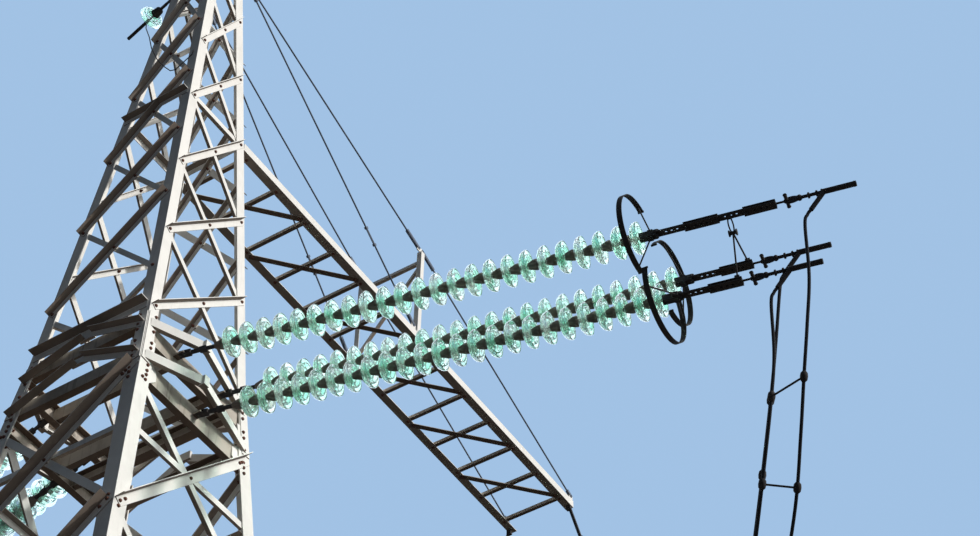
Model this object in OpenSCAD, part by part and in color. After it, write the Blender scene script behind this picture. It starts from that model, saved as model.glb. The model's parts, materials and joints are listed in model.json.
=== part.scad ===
// Lattice transmission pylon: one free-standing steel column of an angle
// position, with tension insulator strings to both sides, a guyed side arm
// that carries the jumper loop, and an earth wire fitting at its head.
// X runs along the side arm, Y along the line, Z up. The origin lies on the
// ground at the middle of the four feet.

/* [Tower body] */
// Height of the waist, where the upper mast meets the lower body
waist_z = 17000; // [14000:100:20000]
// Height of the upper mast above the waist
mast_h = 6900; // [6500:50:8000]
// Width over the legs at the ground
base_w = 4760; // [3600:20:6000]
// Width over the legs at the waist
waist_w = 1460; // [1300:10:1700]
// Width over the legs at the top of the mast
top_w = 480; // [420:10:600]
// Flange width of a lower leg angle
low_leg_a = 160; // [140:5:200]
// Flange thickness of a lower leg angle
low_leg_t = 14; // [10:1:20]
// Flange width of an upper leg angle
up_leg_a = 125; // [100:5:150]
// Flange thickness of an upper leg angle
up_leg_t = 12; // [8:1:16]

/* [Bracing] */
// Height of the lowest node of the mast above the waist
mast_start = 50; // [30:5:80]
// Heights of the front and rear face panels of the mast, from the lowest node up
mast_panels = [1220, 1180, 1240, 1120, 1050, 630];
// Height of the lowest node of the side faces above the waist
side_start = 665; // [600:5:800]
// Heights of the side face panels of the mast
side_panels = [1220, 1140, 1120, 1090, 1000];
// Depth of the joint between the leg angles below the waist
joint_drop = 420; // [380:10:460]
// Half length of the cover plates over the joint
cover_half = 350; // [280:10:370]
// Thickness of the cover plates over the joint
cover_t = 10; // [6:1:14]
// Depth of the first node of the lower body below the waist
beam_zone = 840; // [820:10:900]
// Depth of the first inner brace of the lower body below the waist
inner_start = 1010; // [1000:10:1100]
// Heights of the lower body panels, from the top down, the last one filled
body_panels = [1850, 2200, 2600, 3000, 3300];
// Height of the lowest bracing node above the ground
foot_gap = 330; // [250:10:600]
// Flange width of an outer mast brace
mast_brace_a = 75; // [60:5:90]
// Flange width of an inner mast brace
mast_inner_a = 60; // [50:5:75]
// Thickness of a mast brace
mast_brace_t = 7; // [5:1:10]
// Flange width of an outer lower body brace
body_brace_a = 100; // [75:5:120]
// Flange width of an inner lower body brace
body_inner_a = 80; // [65:5:100]
// Thickness of a lower body brace
body_brace_t = 8; // [6:1:12]
// Distance from a leg heel to the middle of its bolt line
gauge = 65; // [50:5:90]
// Length of a brace beyond its bolt
overrun = 28; // [20:1:35]
// Distance of the lower body's inner brace ends from their node
stagger = 60; // [50:5:80]

/* [Beams] */
// Depth of the upper ring beams' middle below the waist
ring_up_drop = 330; // [300:5:380]
// Depth of the lower ring beams' middle below the waist
ring_low_drop = 840; // [800:5:900]
// Height of a front or rear ring beam channel
ring_h = 200; // [160:10:240]
// Height of a side ring beam channel
side_h = 140; // [100:10:160]
// Width of the channel flanges
channel_f = 75; // [50:5:90]
// Thickness of the channel web and flanges
channel_t = 9; // [6:1:12]
// Distance of the upper strings from the middle plane
string_x = 310; // [280:5:340]
// Depth of the upper bracket arms below the waist
bracket_up_drop = 220; // [200:5:240]
// Depth of the lower bracket arms below the waist
bracket_low_drop = 700; // [660:5:740]
// Reach of the bracket arms in front of the leg
bracket_out = 250; // [200:10:320]
// Offset of the bracket nose from the middle plane
bracket_nose_x = 180; // [100:10:240]

/* [Side arm] */
// Height of the side arm above the waist
arm_up = 3735; // [3700:5:3770]
// Half of the distance between the chord faces
arm_half = 470; // [450:5:480]
// Distance of the first strut from the tower axis
arm_start = 600; // [560:5:700]
// Length of a bay of the arm
arm_bay = 536; // [480:2:600]
// Number of bays of the arm, an even number
arm_bays = 12; // [8:2:14]
// Length of the chord beyond the last strut
arm_tip = 230; // [150:5:260]
// Flange width of a chord angle
chord_a = 105; // [80:5:120]
// Thickness of a chord angle
chord_t = 8; // [6:1:12]
// Flange width of an arm strut
strut_a = 45; // [40:5:60]
// Flange width of a portal post
post_a = 65; // [55:5:80]
// Thickness of the arm struts and posts
strut_t = 6; // [5:1:8]
// Flange width of an arm diagonal
lacing_a = 70; // [60:5:90]
// Height of the arm's portal posts
post_h = 1480; // [1400:10:1900]
// Bay line that carries the portal posts
post_bay = 6; // [4:1:7]
// Diameter of the stay cables
stay_d = 20; // [16:1:28]
// Reach of the long forks at the portal posts
fork_l = 230; // [180:10:280]
// Distance of a turnbuckle from the foot of its stay
screw_at = 1150; // [900:10:1400]
// Half length of a turnbuckle
screw_half = 110; // [80:5:140]
// Height of the stay lugs above the waist
lug_up = 6640; // [6500:5:6700]
// Distance of the stay lugs from the tower axis
lug_x = 410; // [380:5:460]

/* [Insulator strings] */
// Number of discs in a tension string
discs = 24; // [18:1:28]
// Spacing of the discs along a string
disc_pitch = 170; // [146:1:195]
// Diameter of a glass disc
disc_d = 300; // [255:5:320]
// Diameter of the iron cap at its foot
cap_d = 112; // [96:1:120]
// Diameter of the pin below a disc
pin_d = 24; // [20:1:30]
// Angle by which the line turns toward the arm at each side
line_turn = 11.8; // [0:0.1:15]
// Downward slope of the strings
line_dip = 1.8; // [0:0.1:8]
// Length of the fittings between a beam and the first cap
lead_in = 412; // [380:1:460]
// Length of the long link plates of the upper left string
link_long = 1230; // [1000:10:1400]
// Length of the short link plates of the other strings
link_short = 720; // [600:10:850]
// Length of the socket body before the link plates
body_l = 165; // [160:5:180]
// Width of the socket body
body_x = 56; // [50:1:64]
// Height of the socket body
body_y = 70; // [66:1:80]
// Width of a single link plate
link_w = 66; // [60:1:90]
// Width of the paired link plates
pair_w = 84; // [70:1:100]
// Thickness of a single link plate
link_t = 16; // [12:1:20]
// Thickness of each of the paired link plates
pair_t = 10; // [8:1:14]
// Diameter of the adjusting holes
link_hole_d = 24; // [18:1:28]
// Radius of a guard ring
ring_r = 395; // [360:5:430]
// Turn of the guard rings about the vertical
ring_tilt = -7; // [-10:1:10]
// Width of the flat guard ring band
ring_band = 50; // [40:1:60]
// Diameter of a conductor
conductor_d = 28; // [22:1:34]
// Diameter of a dead-end clamp's sleeve
clamp_d = 50; // [44:1:60]
// Diameter of a dead-end clamp's eye rod
eye_d = 30; // [24:1:36]
// Length of a dead-end clamp's eye rod
eye_l = 175; // [150:5:190]
// Length of a dead-end clamp body
clamp_l = 480; // [400:10:560]
// Length of the shackle between the link plates and the clamp
shackle_l = 220; // [160:10:280]
// Length of the jumper lug under a clamp
lug_l = 225; // [180:5:260]
// Slope of the jumper lugs toward the tower
lug_tilt = 34; // [20:1:45]
// Diameter of a jumper lug
lug_d = 42; // [36:1:50]

/* [Jumper] */
// Number of discs in a jumper support string
hang_discs = 24; // [14:1:26]
// Length of the link chain above a jumper support string
hang_link = 620; // [500:10:800]
// Slope of the jumper support strings away from the tower's middle plane
hang_lean = 15; // [5:1:25]
// Depth of the outer cable seats below the crossbar of a support string
seat_drop = 160; // [140:5:200]
// Depth of the middle cable seat below the crossbar
seat_low_drop = 460; // [400:10:520]
// Distance of the outer cable seats from the support string
seat_x = 200; // [180:5:240]
// Diameter of a jumper cable
jumper_d = 28; // [22:1:34]

/* [Earth wire] */
// Height of the earth wire ear above the waist
earth_up = 6250; // [6100:10:6400]
// Diameter of the earth wire
earth_wire_d = 12; // [9:1:16]

/* [Feet] */
// Side of a base plate
foot_w = 460; // [400:10:560]
// Thickness of a base plate
foot_t = 30; // [20:1:40]
// Height of the stiffening ribs on a base plate
foot_rib_h = 260; // [200:10:320]
// Distance between the anchor bolts of a foot
bolt_pitch = 320; // [280:10:400]
// Diameter of an anchor bolt hole
bolt_hole_d = 44; // [36:1:56]

/* [Hidden] */

steel = [0.80, 0.80, 0.77];
dark_steel = [0.36, 0.34, 0.31];
glass_green = [0.55, 0.83, 0.74];
cable_grey = [0.30, 0.30, 0.31];

mast_top_z = waist_z + mast_h;
joint_z = waist_z - joint_drop;
lug_at = 200;
seat_gap = 0.3;
lug_t = 12;
stay_pin = 16;
pin_reach = 52;
low_slope = (base_w - waist_w) / 2 / waist_z;
up_slope = (waist_w - top_w) / 2 / mast_h;
ring_up_z = waist_z - ring_up_drop;
ring_low_z = waist_z - ring_low_drop;
arm_z = waist_z + arm_up;
arm_end = arm_start + arm_bays * arm_bay + arm_tip;
lug_y = half_w(waist_z + lug_up) + 48;
foot_c = half_w(foot_t) - low_leg_a / 2 + 20;

// Half width over the legs at a height
function slope_at(z) = z < waist_z ? low_slope : up_slope;
function line_w(z, s) = waist_w / 2 + s * (waist_z - z);
function half_w(z) = line_w(z, slope_at(z));
function leg_t_at(z) = z < joint_z ? low_leg_t : up_leg_t;
// Sum of the first n values of a list
function total(v, n) = n <= 0 ? 0 : v[n - 1] + total(v, n - 1);
// A point on the front face, a distance in from the left or right heel line
function face_pt(side, z, c = gauge) = [side * (half_w(z) - c), -half_w(z), z];
function face_n(z) = [0, -1, slope_at(z)];

mast_levels = [for (i = [0 : len(mast_panels)])
    waist_z + mast_start + total(mast_panels, i)];
side_levels = [for (i = [0 : len(side_panels)])
    waist_z + side_start + total(side_panels, i)];
body_levels = [for (i = [0 : len(body_panels) + 1])
    i <= len(body_panels) ? waist_z - beam_zone - total(body_panels, i) : foot_gap];

// Places its children along the line from p to q, with their x axis toward n
module along(p, q, n = [0, 0, 1]) {
    d = q - p;
    len_d = norm(d);
    az = atan2(d.y, d.x);
    pol = acos(d.z / len_d);
    ex = [cos(pol) * cos(az), cos(pol) * sin(az), -sin(pol)];
    ey = [-sin(az), cos(az), 0];
    translate(p)
        rotate([0, pol, az])
            rotate([0, 0, atan2(n * ey, n * ex)])
                children();
}

// Angle section centred on its flat flange, the other flange on the -y edge
module angle_section(a, t, out = 1) {
    mirror([out > 0 ? 0 : 1, 0])
        polygon([[0, -a / 2], [a, -a / 2], [a, -a / 2 + t],
                 [t, -a / 2 + t], [t, a / 2], [0, a / 2]]);
}

// Angle bar from p to q: its flat flange starts at depth off along n
module angle_bar(p, q, n, a, t, off = 0, out = 1) {
    along(p, q, n)
        linear_extrude(norm(q - p))
            translate([off, 0])
                angle_section(a, t, out);
}

// Channel section with its web on the y axis and its flanges along +x
module channel_section(h, f, t) {
    polygon([[0, -h / 2], [f, -h / 2], [f, -h / 2 + t], [t, -h / 2 + t],
             [t, h / 2 - t], [f, h / 2 - t], [f, h / 2], [0, h / 2]]);
}

// Channel from p to q, its flanges pointing along n
module channel(p, q, n, h, f, t) {
    along(p, q, n)
        linear_extrude(norm(q - p))
            channel_section(h, f, t);
}

// Round bar from p to q
module rod(p, q, d) {
    along(p, q)
        cylinder(h = norm(q - p), d = d, $fn = 24);
}

// One leg angle between two heights, both flanges in the planes of the faces
module leg(z0, z1, s, a, t) {
    p = [-line_w(z0, s), -line_w(z0, s), z0];
    q = [-line_w(z1, s), -line_w(z1, s), z1];
    f = s * s;
    along(p, q, [0, -1, 0])
        linear_extrude(norm(q - p))
            polygon([[0, 0], [-a, 0], [f * t - a, t], [f * t - t, t],
                     [f * a - t, a], [f * a, a]]);
}

// Large block below a height, used to cut bars level
module below(z) {
    translate([-base_w, -base_w, z - waist_z])
        cube([2 * base_w, 2 * base_w, waist_z]);
}

module lower_leg(k) {
    color(steel)
        rotate([0, 0, 90 * k])
            difference() {
                leg(foot_t - 60, joint_z, low_slope, low_leg_a, low_leg_t);
                below(foot_t);
            }
}

module upper_leg(k) {
    color(steel)
        rotate([0, 0, 90 * k]) {
            intersection() {
                leg(joint_z, waist_z + 40, low_slope, up_leg_a, up_leg_t);
                below(waist_z + 1);
            }
            difference() {
                leg(waist_z - 40, mast_top_z, up_slope, up_leg_a, up_leg_t);
                below(waist_z);
            }
        }
}

// Two braces that cross: the outer one rises from za to zb, the inner one
// descends from zt to zu, and a block packs them where they cross
module cross_panel(za, zb, zu, zt, a, b, t) {
    n = face_n((za + zb) / 2);
    lt = leg_t_at((za + zb) / 2);
    p = face_pt(-1, za);
    q = face_pt(1, zb);
    u = face_pt(-1, zt);
    v = face_pt(1, zu);
    ma = (q.z - p.z) / (q.x - p.x);
    mb = (v.z - u.z) / (v.x - u.x);
    xc = (u.z - p.z + ma * p.x - mb * u.x) / (ma - mb);
    zc = p.z + ma * (xc - p.x);
    c = [xc, -half_w(zc), zc];
    e = overrun * unit(q - p);
    f = overrun * unit(v - u);
    angle_bar(p - e, q + e, n, a, t, 0, 1);
    angle_bar(u - f, v + f, n, b, t, -lt, -1);
    along(c, c + [1, 0, 0], n)
        translate([-lt - 1, -b * 0.4, -b * 0.4])
            cube([lt + 2, b * 0.8, b * 0.8]);
}

// One level brace inside the leg flanges at height z, deep behind the flanges
module level_brace(z, a, t, deep = 0) {
    c = gauge + 30;
    angle_bar(face_pt(-1, z, c), face_pt(1, z, c), face_n(z), a, t,
              -leg_t_at(z) - deep, -1);
}

// One level brace outside the leg flanges at height z
module outer_brace(z, a, t, off) {
    c = gauge - overrun;
    angle_bar(face_pt(-1, z, c), face_pt(1, z, c), face_n(z), a, t, off, 1);
}

module lower_face(k) {
    color(steel)
        rotate([0, 0, 90 * k])
            for (i = [0 : len(body_levels) - 2]) {
                top = body_levels[i];
                low = body_levels[i + 1];
                wa = half_w(top) - gauge;
                wb = half_w(low) - gauge;
                cross_panel(low, top, low + stagger,
                            i == 0 ? waist_z - inner_start : top - stagger,
                            body_brace_a, body_inner_a, body_brace_t);
                level_brace(low + (top - low) * wb / (wa + wb), mast_brace_a,
                            mast_brace_t);
            }
}

module mast_face(k, levels) {
    color(steel)
        rotate([0, 0, 90 * k]) {
            for (i = [0 : len(levels) - 2])
                cross_panel(levels[i], levels[i + 1], levels[i], levels[i + 1],
                            mast_brace_a, mast_inner_a, mast_brace_t);
            if (k == 3)
                outer_brace(arm_z, mast_brace_a, mast_brace_t, 1);
            else
                level_brace(arm_z, mast_brace_a, mast_brace_t, mast_brace_t - 1);
        }
}

// Brace from the middle of the front face to a leg: heights at its ends
module half_brace(s, zm, ze, a, off, out) {
    p = [s * 30, -half_w(zm), zm];
    q = face_pt(s, ze);
    angle_bar(p, q + overrun * unit(q - p), face_n(ze), a, mast_brace_t, off, out);
}

// Braces of the side faces at the waist: a level bar, two bars from its middle
// up to the legs, two down to the cover plates, and two more below these
module waist_braces() {
    z = waist_z + mast_start;
    out = cover_t * 1.01 + seat_gap;
    low_z = joint_z - cover_half + 60;
    color(steel)
        for (k = [1, 3])
            rotate([0, 0, 90 * k]) {
                outer_brace(z, body_brace_a, body_brace_t, 0);
                waist_block(z - 60, out, 120);
                waist_block(low_z + 330, out, 90);
                for (s = [-1, 1]) {
                    half_brace(s, z - 30, side_levels[0] - 95, mast_inner_a,
                               -up_leg_t, -1);
                    half_brace(s, z - 70, joint_z + cover_half - 190, body_inner_a,
                               out, 1);
                    half_brace(s, low_z + 330, low_z, body_inner_a, out, 1);
                }
            }
}

// Gusset block in the middle of a side face, from the leg flange out to a depth
module waist_block(z, out, h) {
    c = [0, -half_w(z), z];
    along(c, c + [1, 0, 0], face_n(z))
        translate([-up_leg_t - 4, -h / 2, -90])
            cube([up_leg_t + 4 + out + 5, h, 180]);
}

module leg_splices() {
    color(steel)
        for (k = [0 : 3])
            rotate([0, 0, 90 * k])
                for (f = [0, 1])
                    mirror([f, -f, 0])
                        splice_plate();
}

// Cover plate outside the leg flange, over the joint of the leg angles
module splice_plate() {
    z0 = joint_z - cover_half;
    z1 = joint_z + cover_half;
    n = face_n(z0);
    along([-half_w(z0), -half_w(z0), z0], [-half_w(z1), -half_w(z1), z1], n)
        translate([0, 8, 0])
            cube([cover_t, up_leg_a - 16, z1 - z0]);
}

// Inner faces of the legs at the top of a ring beam
function beam_in(z) = half_w(z) - leg_t_at(z) - seat_gap;

// Ring of channels at a height: front and rear inside the legs, sides on top
module ring_beams(z, tie_x, pins) {
    zt = z + ring_h / 2;
    y_in = beam_in(zt);
    for (s = [0, 1])
        mirror([0, s, 0]) {
            channel([-y_in, -y_in, z], [y_in, -y_in, z], [0, 1, 0],
                    ring_h, channel_f, channel_t);
            for (at = pins)
                beam_lug(at, y_in);
        }
    sx = beam_in(zt + side_h);
    for (s = [0, 1])
        mirror([s, 0, 0])
            channel([-sx, -sx, zt + side_h / 2], [-sx, sx, zt + side_h / 2],
                    [1, 0, 0], side_h, channel_f, channel_t);
    for (x = tie_x)
        channel([x, -y_in + 1, z], [x, y_in - 1, z],
                [x > 0 ? -1 : 1, 0, 0], ring_h - 40, channel_f - 15, channel_t);
}

// Level lug plate on a beam web, with the hole for the first clevis pin
module beam_lug(at, y_in) {
    pin = string_pt(at, pin_at);
    difference() {
        translate([pin.x - 35, pin.y - 35, pin.z - 10])
            cube([70, -y_in - pin.y + 36, 20]);
        translate(pin - [0, 0, 20])
            cylinder(h = 40, d = clevis_pin + 2 * seat_gap, $fn = 32);
    }
}

module upper_ring_beams() {
    color(dark_steel)
        ring_beams(ring_up_z, [-string_x, string_x], [left_at, right_at]);
}

module lower_ring_beams() {
    color(dark_steel)
        ring_beams(ring_low_z, [-150, 150], [low_at]);
}

// Bracket arms that stand off the front and rear faces in plan
module string_brackets() {
    color(steel)
        for (s = [0, 1], drop = [bracket_up_drop, bracket_low_drop]) {
            z = waist_z - drop;
            w = half_w(z);
            seat_y = half_w(z - 50) + cover_t * 1.01 + seat_gap;
            nose = [-bracket_nose_x, -w - bracket_out, z];
            mirror([0, s, 0])
                difference() {
                    union() {
                        channel([-w + 30, -w - 12, z], nose, [0.4, 1, 0], 100, 50, 7);
                        channel([w - 30, -w - 12, z], nose, [-0.3, 1, 0], 90, 50, 7);
                        translate(nose + [-35, -16, -56])
                            cube([70, 70, 112]);
                    }
                    translate([-base_w / 2, -seat_y, z - 60])
                        cube([base_w, base_w, 120]);
                }
        }
}

// Plate with pin holes at the given places, its middle plane at y
module pin_plate(x0, z0, dx, dz, y, pins) {
    difference() {
        translate([x0, y - lug_t / 2, z0])
            cube([dx, lug_t, dz]);
        for (p = pins)
            translate([p.x, y - lug_t, p.y])
                rotate([-90, 0, 0])
                    cylinder(h = 2 * lug_t, d = stay_pin + 2 * seat_gap, $fn = 24);
    }
}

head_z = waist_z + lug_up;
x_post = arm_start + post_bay * arm_bay;
post_zt = arm_z + post_h;
post_y = arm_half - chord_t - post_a / 2 - seat_gap;
tie_y = arm_half - lug_t / 2;
// Pin places of the stays: high and low at the head, post, tip and root
pin_high = [lug_x, head_z + 32];
pin_low = [lug_x, head_z - 32];
pin_post = [x_post - 40, post_zt + 45];
pin_fore = [x_post + 40, post_zt + 45];
pin_tip = [arm_end - 60, arm_z + 95];
pin_root = [x_post - 105, arm_z + 95];

module mast_head() {
    w = half_w(head_z - 50) + seat_gap;
    color(steel)
        for (s = [0, 1])
            mirror([0, s, 0]) {
                channel([-w - 60, -w, head_z], [lug_x - 60, -w, head_z], [0, -1, 0],
                        100, 46, 6);
                pin_plate(lug_x - 66, head_z - 66, 100, 132, -lug_y,
                          [pin_high, pin_low]);
            }
}

module arm_chord(s) {
    x0 = half_w(arm_z - chord_a / 2) + seat_gap;
    color(steel)
        mirror([0, s > 0 ? 1 : 0, 0]) {
            pin_plate(pin_tip.x - 40, arm_z, 80, 125, -tie_y, [pin_tip]);
            pin_plate(pin_root.x - 40, arm_z, 80, 125, -tie_y, [pin_root]);
            translate([x0, -arm_half, arm_z - chord_a / 2])
                rotate([90, 0, 90])
                    linear_extrude(arm_end - x0)
                        polygon([[0, 0], [chord_a, 0], [chord_a, chord_t],
                                 [chord_t, chord_t], [chord_t, chord_a],
                                 [0, chord_a]]);
        }
}

module arm_lacing() {
    zb = arm_z - chord_a / 2;
    y_in = arm_half - chord_t;
    color(dark_steel) {
        for (i = [0 : arm_bays])
            angle_bar([arm_start + i * arm_bay, -y_in, zb + chord_t],
                      [arm_start + i * arm_bay, y_in, zb + chord_t],
                      [0, 0, 1], strut_a, strut_t);
        for (i = [0 : 2 : arm_bays - 2]) {
            xa = arm_start + i * arm_bay;
            y_d = arm_half - chord_a / 2;
            difference() {
                angle_bar([xa + 60, y_d, zb], [xa + 2 * arm_bay - 60, -y_d, zb],
                          [0, 0, 1], lacing_a, strut_t, -strut_t);
                for (f = [-1, 1])
                    translate([xa - 100, f * (arm_half - chord_a / 2) - chord_a / 2 - 12,
                               zb - seat_gap])
                        cube([2 * arm_bay + 200, chord_a + 24, lacing_a]);
            }
            translate([xa + arm_bay - strut_a / 2, -strut_a / 2, zb - 1])
                cube([strut_a, strut_a, chord_t + 2]);
        }
    }
}

// Two posts inside the chords, with a strut and a diagonal between them
module arm_portal() {
    x0 = x_post - strut_a / 2 + strut_t;
    zb = arm_z - chord_a / 2 + chord_t + strut_t + seat_gap;
    y = post_y + post_a / 2;
    color(steel) {
        for (s = [0, 1])
            mirror([0, s, 0]) {
                translate([x0, -y, zb])
                    linear_extrude(post_zt - zb)
                        polygon([[0, 0], [post_a, 0], [post_a, strut_t],
                                 [strut_t, strut_t], [strut_t, post_a],
                                 [0, post_a]]);
                translate([x0, -y, post_zt - strut_t])
                    cube([post_a, post_a, strut_t]);
                pin_plate(x_post - 70, post_zt - 1, 140, 76, -post_y,
                          [pin_post, pin_fore]);
            }
        angle_bar([x0 + strut_a / 2 + 1, 1 - y, post_zt - 200],
                  [x0 + strut_a / 2 + 1, y - 1, post_zt - 200],
                  [0, 0, 1], strut_a, strut_t);
        angle_bar([x0 + strut_t / 2, y - 30, arm_z + chord_a / 2 + 60],
                  [x0 + strut_t / 2, 30 - y, post_zt - 260],
                  [1, 0, 0], strut_a - 10, strut_t);
    }
}

// One stay cable between two pins: a fork of its own reach at each end, and a
// turnbuckle at distance screw from the second pin, if that isn't 0
module stay(p, q, reach_p, reach_q, screw = 0) {
    len_s = norm(q - p);
    along(p, q, [0, -1, 0]) {
        translate([0, 0, reach_p + 20])
            cylinder(h = len_s - reach_p - reach_q - 40, d = stay_d, $fn = 24);
        clevis(stay_pin, 40, lug_t + 4, 8, reach_p);
        translate([0, 0, len_s])
            mirror([0, 0, 1])
                clevis(stay_pin, 40, lug_t + 4, 8, reach_q);
        if (screw > 0)
            for (e = [-1, 1]) {
                translate([-15, -22, len_s - screw + e * screw_half - 15])
                    cube([30, 44, 30]);
                translate([0, e * 16, len_s - screw - screw_half])
                    cylinder(h = 2 * screw_half, d = 11, $fn = 24);
            }
    }
}

// Fork around a plate: pin across, two cheeks and the body behind them
module clevis(pin, w, gap, cheek, reach) {
    b = gap / 2 + cheek;
    rotate([0, 90, 0])
        cylinder(h = 2 * b + 12, d = pin, center = true, $fn = 24);
    for (s = [0, 1])
        mirror([s, 0, 0])
            translate([gap / 2, -w / 2, -w / 2])
                cube([cheek, w, w / 2 + reach]);
    translate([-b, -w / 2, reach - 4])
        cube([2 * b, w, 40]);
}

// Stay cables of one side: head to post, post to arm tip, head to arm
module stays(s) {
    color(cable_grey) {
        stay([pin_high.x, s * lug_y, pin_high.y], [pin_post.x, s * post_y, pin_post.y],
             pin_reach, fork_l);
        stay([pin_fore.x, s * post_y, pin_fore.y], [pin_tip.x, s * tie_y, pin_tip.y],
             fork_l, pin_reach);
        stay([pin_low.x, s * lug_y, pin_low.y], [pin_root.x, s * tie_y, pin_root.y],
             pin_reach, fork_l - 30, screw_at);
    }
}

// Position along a string: 0 at its beam, distance t out to the line
module on_string(x, y, z, t = 0, back = false) {
    mirror([0, back ? 1 : 0, 0])
        translate([x, -y, z])
            rotate([0, 0, line_turn])
                rotate([90 + line_dip, 0, 0])
                    translate([0, 0, t])
                        children();
}

string_y = half_w(ring_up_z) + 30;
left_at = [-string_x, string_y, ring_up_z];
right_at = [string_x, string_y, ring_up_z];
low_at = [10, string_y + 20, ring_low_z];

// Glass shell: domed back, rolled rim and two ribs under it
module glass_disc() {
    r = disc_d / 2;
    rotate_extrude($fn = 40)
        polygon([[cap_d / 2 - 4, 0], [r * 0.62, 9], [r * 0.84, 26], [r * 0.96, 48],
                 [r, 66], [r, 80], [r - 4, 86], [r - 10, 78], [r * 0.90, 58],
                 [r * 0.80, 42], [r * 0.75, 40], [r * 0.72, 92], [r * 0.69, 96],
                 [r * 0.66, 92], [r * 0.63, 34], [r * 0.54, 28], [r * 0.51, 66],
                 [r * 0.46, 66], [r * 0.43, 28], [pin_d, 26], [pin_d, 0]]);
}

// Iron cap with its socket, and the pin that reaches the next socket
module disc_cap() {
    rotate_extrude($fn = 32)
        polygon([[0, -100], [32, -100], [42, -93], [cap_d / 2 - 9, -80],
                 [cap_d / 2 - 6, -50], [cap_d / 2 - 2, -24],
                 [cap_d / 2, -14], [cap_d / 2, 0], [pin_d, 0], [pin_d, 26],
                 [pin_d / 2, 34], [pin_d / 2, disc_pitch - 100.3],
                 [0, disc_pitch - 100.3]]);
}

module disc_row(n) {
    for (i = [0 : n - 1])
        translate([0, 0, i * disc_pitch])
            children();
}

earth_z = waist_z + earth_up;
earth_at = [50 - half_w(earth_z), half_w(earth_z - 45) + 60, earth_z];

module earth_disc(back) {
    on_string(earth_at.x, earth_at.y, earth_at.z, 300, back)
        glass_disc();
}

module earth_wire_glass() {
    color(glass_green)
        for (back = [false, true])
            earth_disc(back);
}

module tension_glass(at, back) {
    color(glass_green)
        on_string(at.x, at.y, at.z, lead_in + 60, back)
            disc_row(discs)
                glass_disc();
}

module tension_caps(back) {
    color(dark_steel)
        for (at = [left_at, right_at, low_at])
            on_string(at.x, at.y, at.z, lead_in + 60, back)
                disc_row(discs)
                    disc_cap();
}

string_end = lead_in + 60 + discs * disc_pitch - 100;
pin_at = 30;
clevis_pin = 24;

module beam_fittings(back) {
    color(dark_steel)
        for (at = [left_at, right_at, low_at])
            on_string(at.x, at.y, at.z, pin_at, back) {
                rotate([0, 0, 90])
                    clevis(clevis_pin, 56, 25, 10, 56);
                translate([-9, -22, 80])
                    cube([18, 44, 110]);
                translate([-24, -22, 180])
                    cube([48, 44, 70]);
                translate([0, 0, 240])
                    cylinder(h = lead_in - 40 - pin_at - 240 - seat_gap, d = 40, $fn = 24);
            }
}

function clamp_start(at) = string_end + link_l(at) + shackle_l;
function string_dir() = [sin(line_turn) * cos(line_dip),
    -cos(line_turn) * cos(line_dip), -sin(line_dip)];
// A point at distance t along a front string
function string_pt(at, t) = [at.x, -at.y, at.z] + t * string_dir();
function link_l(at) = at.x < -100 ? link_long : link_short;

// Chain of link plates: single and paired ones in turn, each with three holes
module link_chain(n, l) {
    seg = (l - body_l) / n;
    difference() {
        union() {
            translate([-body_x / 2, -body_y / 2, 0])
                cube([body_x, body_y, body_l]);
            for (i = [0 : n - 1]) {
                z0 = body_l + i * seg - 22;
                if (i % 2 == 0)
                    translate([-link_w / 2, -link_t / 2, z0])
                        cube([link_w, link_t, seg + 44]);
                else
                    for (m = [0, 1])
                        mirror([0, m, 0])
                            translate([-pair_w / 2, link_t / 2 - 1, z0])
                                cube([pair_w, pair_t + 1, seg + (i < n - 1 ? 44 : 22)]);
                translate([0, -32, body_l + i * seg])
                    rotate([-90, 0, 0])
                        cylinder(h = 64, d = 30, $fn = 24);
            }
        }
        for (i = [0 : n - 1], j = [-1 : 1])
            translate([0, -pair_w, body_l + (i + 0.5) * seg + j * link_hole_d * 2.1])
                rotate([-90, 0, 0])
                    cylinder(h = 2 * pair_w, d = link_hole_d, $fn = 24);
    }
    // Pin, shackle and ball between the last plate and the clamp
    translate([0, 0, l - 60])
        cylinder(h = shackle_l + 60 - seat_gap, d = 20, $fn = 24);
    translate([-62, 0, l + 95])
        rotate([0, 90, 0])
            cylinder(h = 124, d = 32, $fn = 24);
    for (m = [0, 1])
        mirror([0, m, 0])
            translate([-9, 12, l + 85])
                cube([18, 12, 95]);
    translate([-11, -25, l + 165])
        cube([22, 50, 20]);
    translate([0, 0, l + 195])
        cylinder(h = shackle_l - 195 - seat_gap, d = 44, $fn = 32);
}

module link_plates(back) {
    color(dark_steel)
        for (at = [left_at, right_at, low_at])
            on_string(at.x, at.y, at.z, string_end, back)
                link_chain(at.x < -100 ? 4 : 2, link_l(at));
}

// A point of a front string's own frame: level offset x, offset y, distance t
function string_up() = [sin(line_turn) * sin(line_dip),
    -cos(line_turn) * sin(line_dip), cos(line_dip)];
function string_at(at, x, y, t) = string_pt(at, t)
    + x * [cos(line_turn), sin(line_turn), 0] + y * string_up();

// Dead-end clamp: eye rod, sleeve with the conductor's mouth, and jumper lug
module dead_ends(back) {
    color(dark_steel)
        for (at = [left_at, right_at, low_at])
            on_string(at.x, at.y, at.z, clamp_start(at), back) {
                difference() {
                    union() {
                        cylinder(h = eye_l + 10, d = eye_d, $fn = 32);
                        translate([0, 0, eye_l])
                            cylinder(h = clamp_l - eye_l, d = clamp_d, $fn = 32);
                    }
                    translate([0, 0, clamp_l - 120])
                        cylinder(h = 121, d = conductor_d, $fn = 32);
                }
                translate([0, 0, lug_at])
                    rotate([90 + lug_tilt, 0, 0])
                        cylinder(h = lug_l, d = lug_d, $fn = 32);
            }
}

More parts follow.
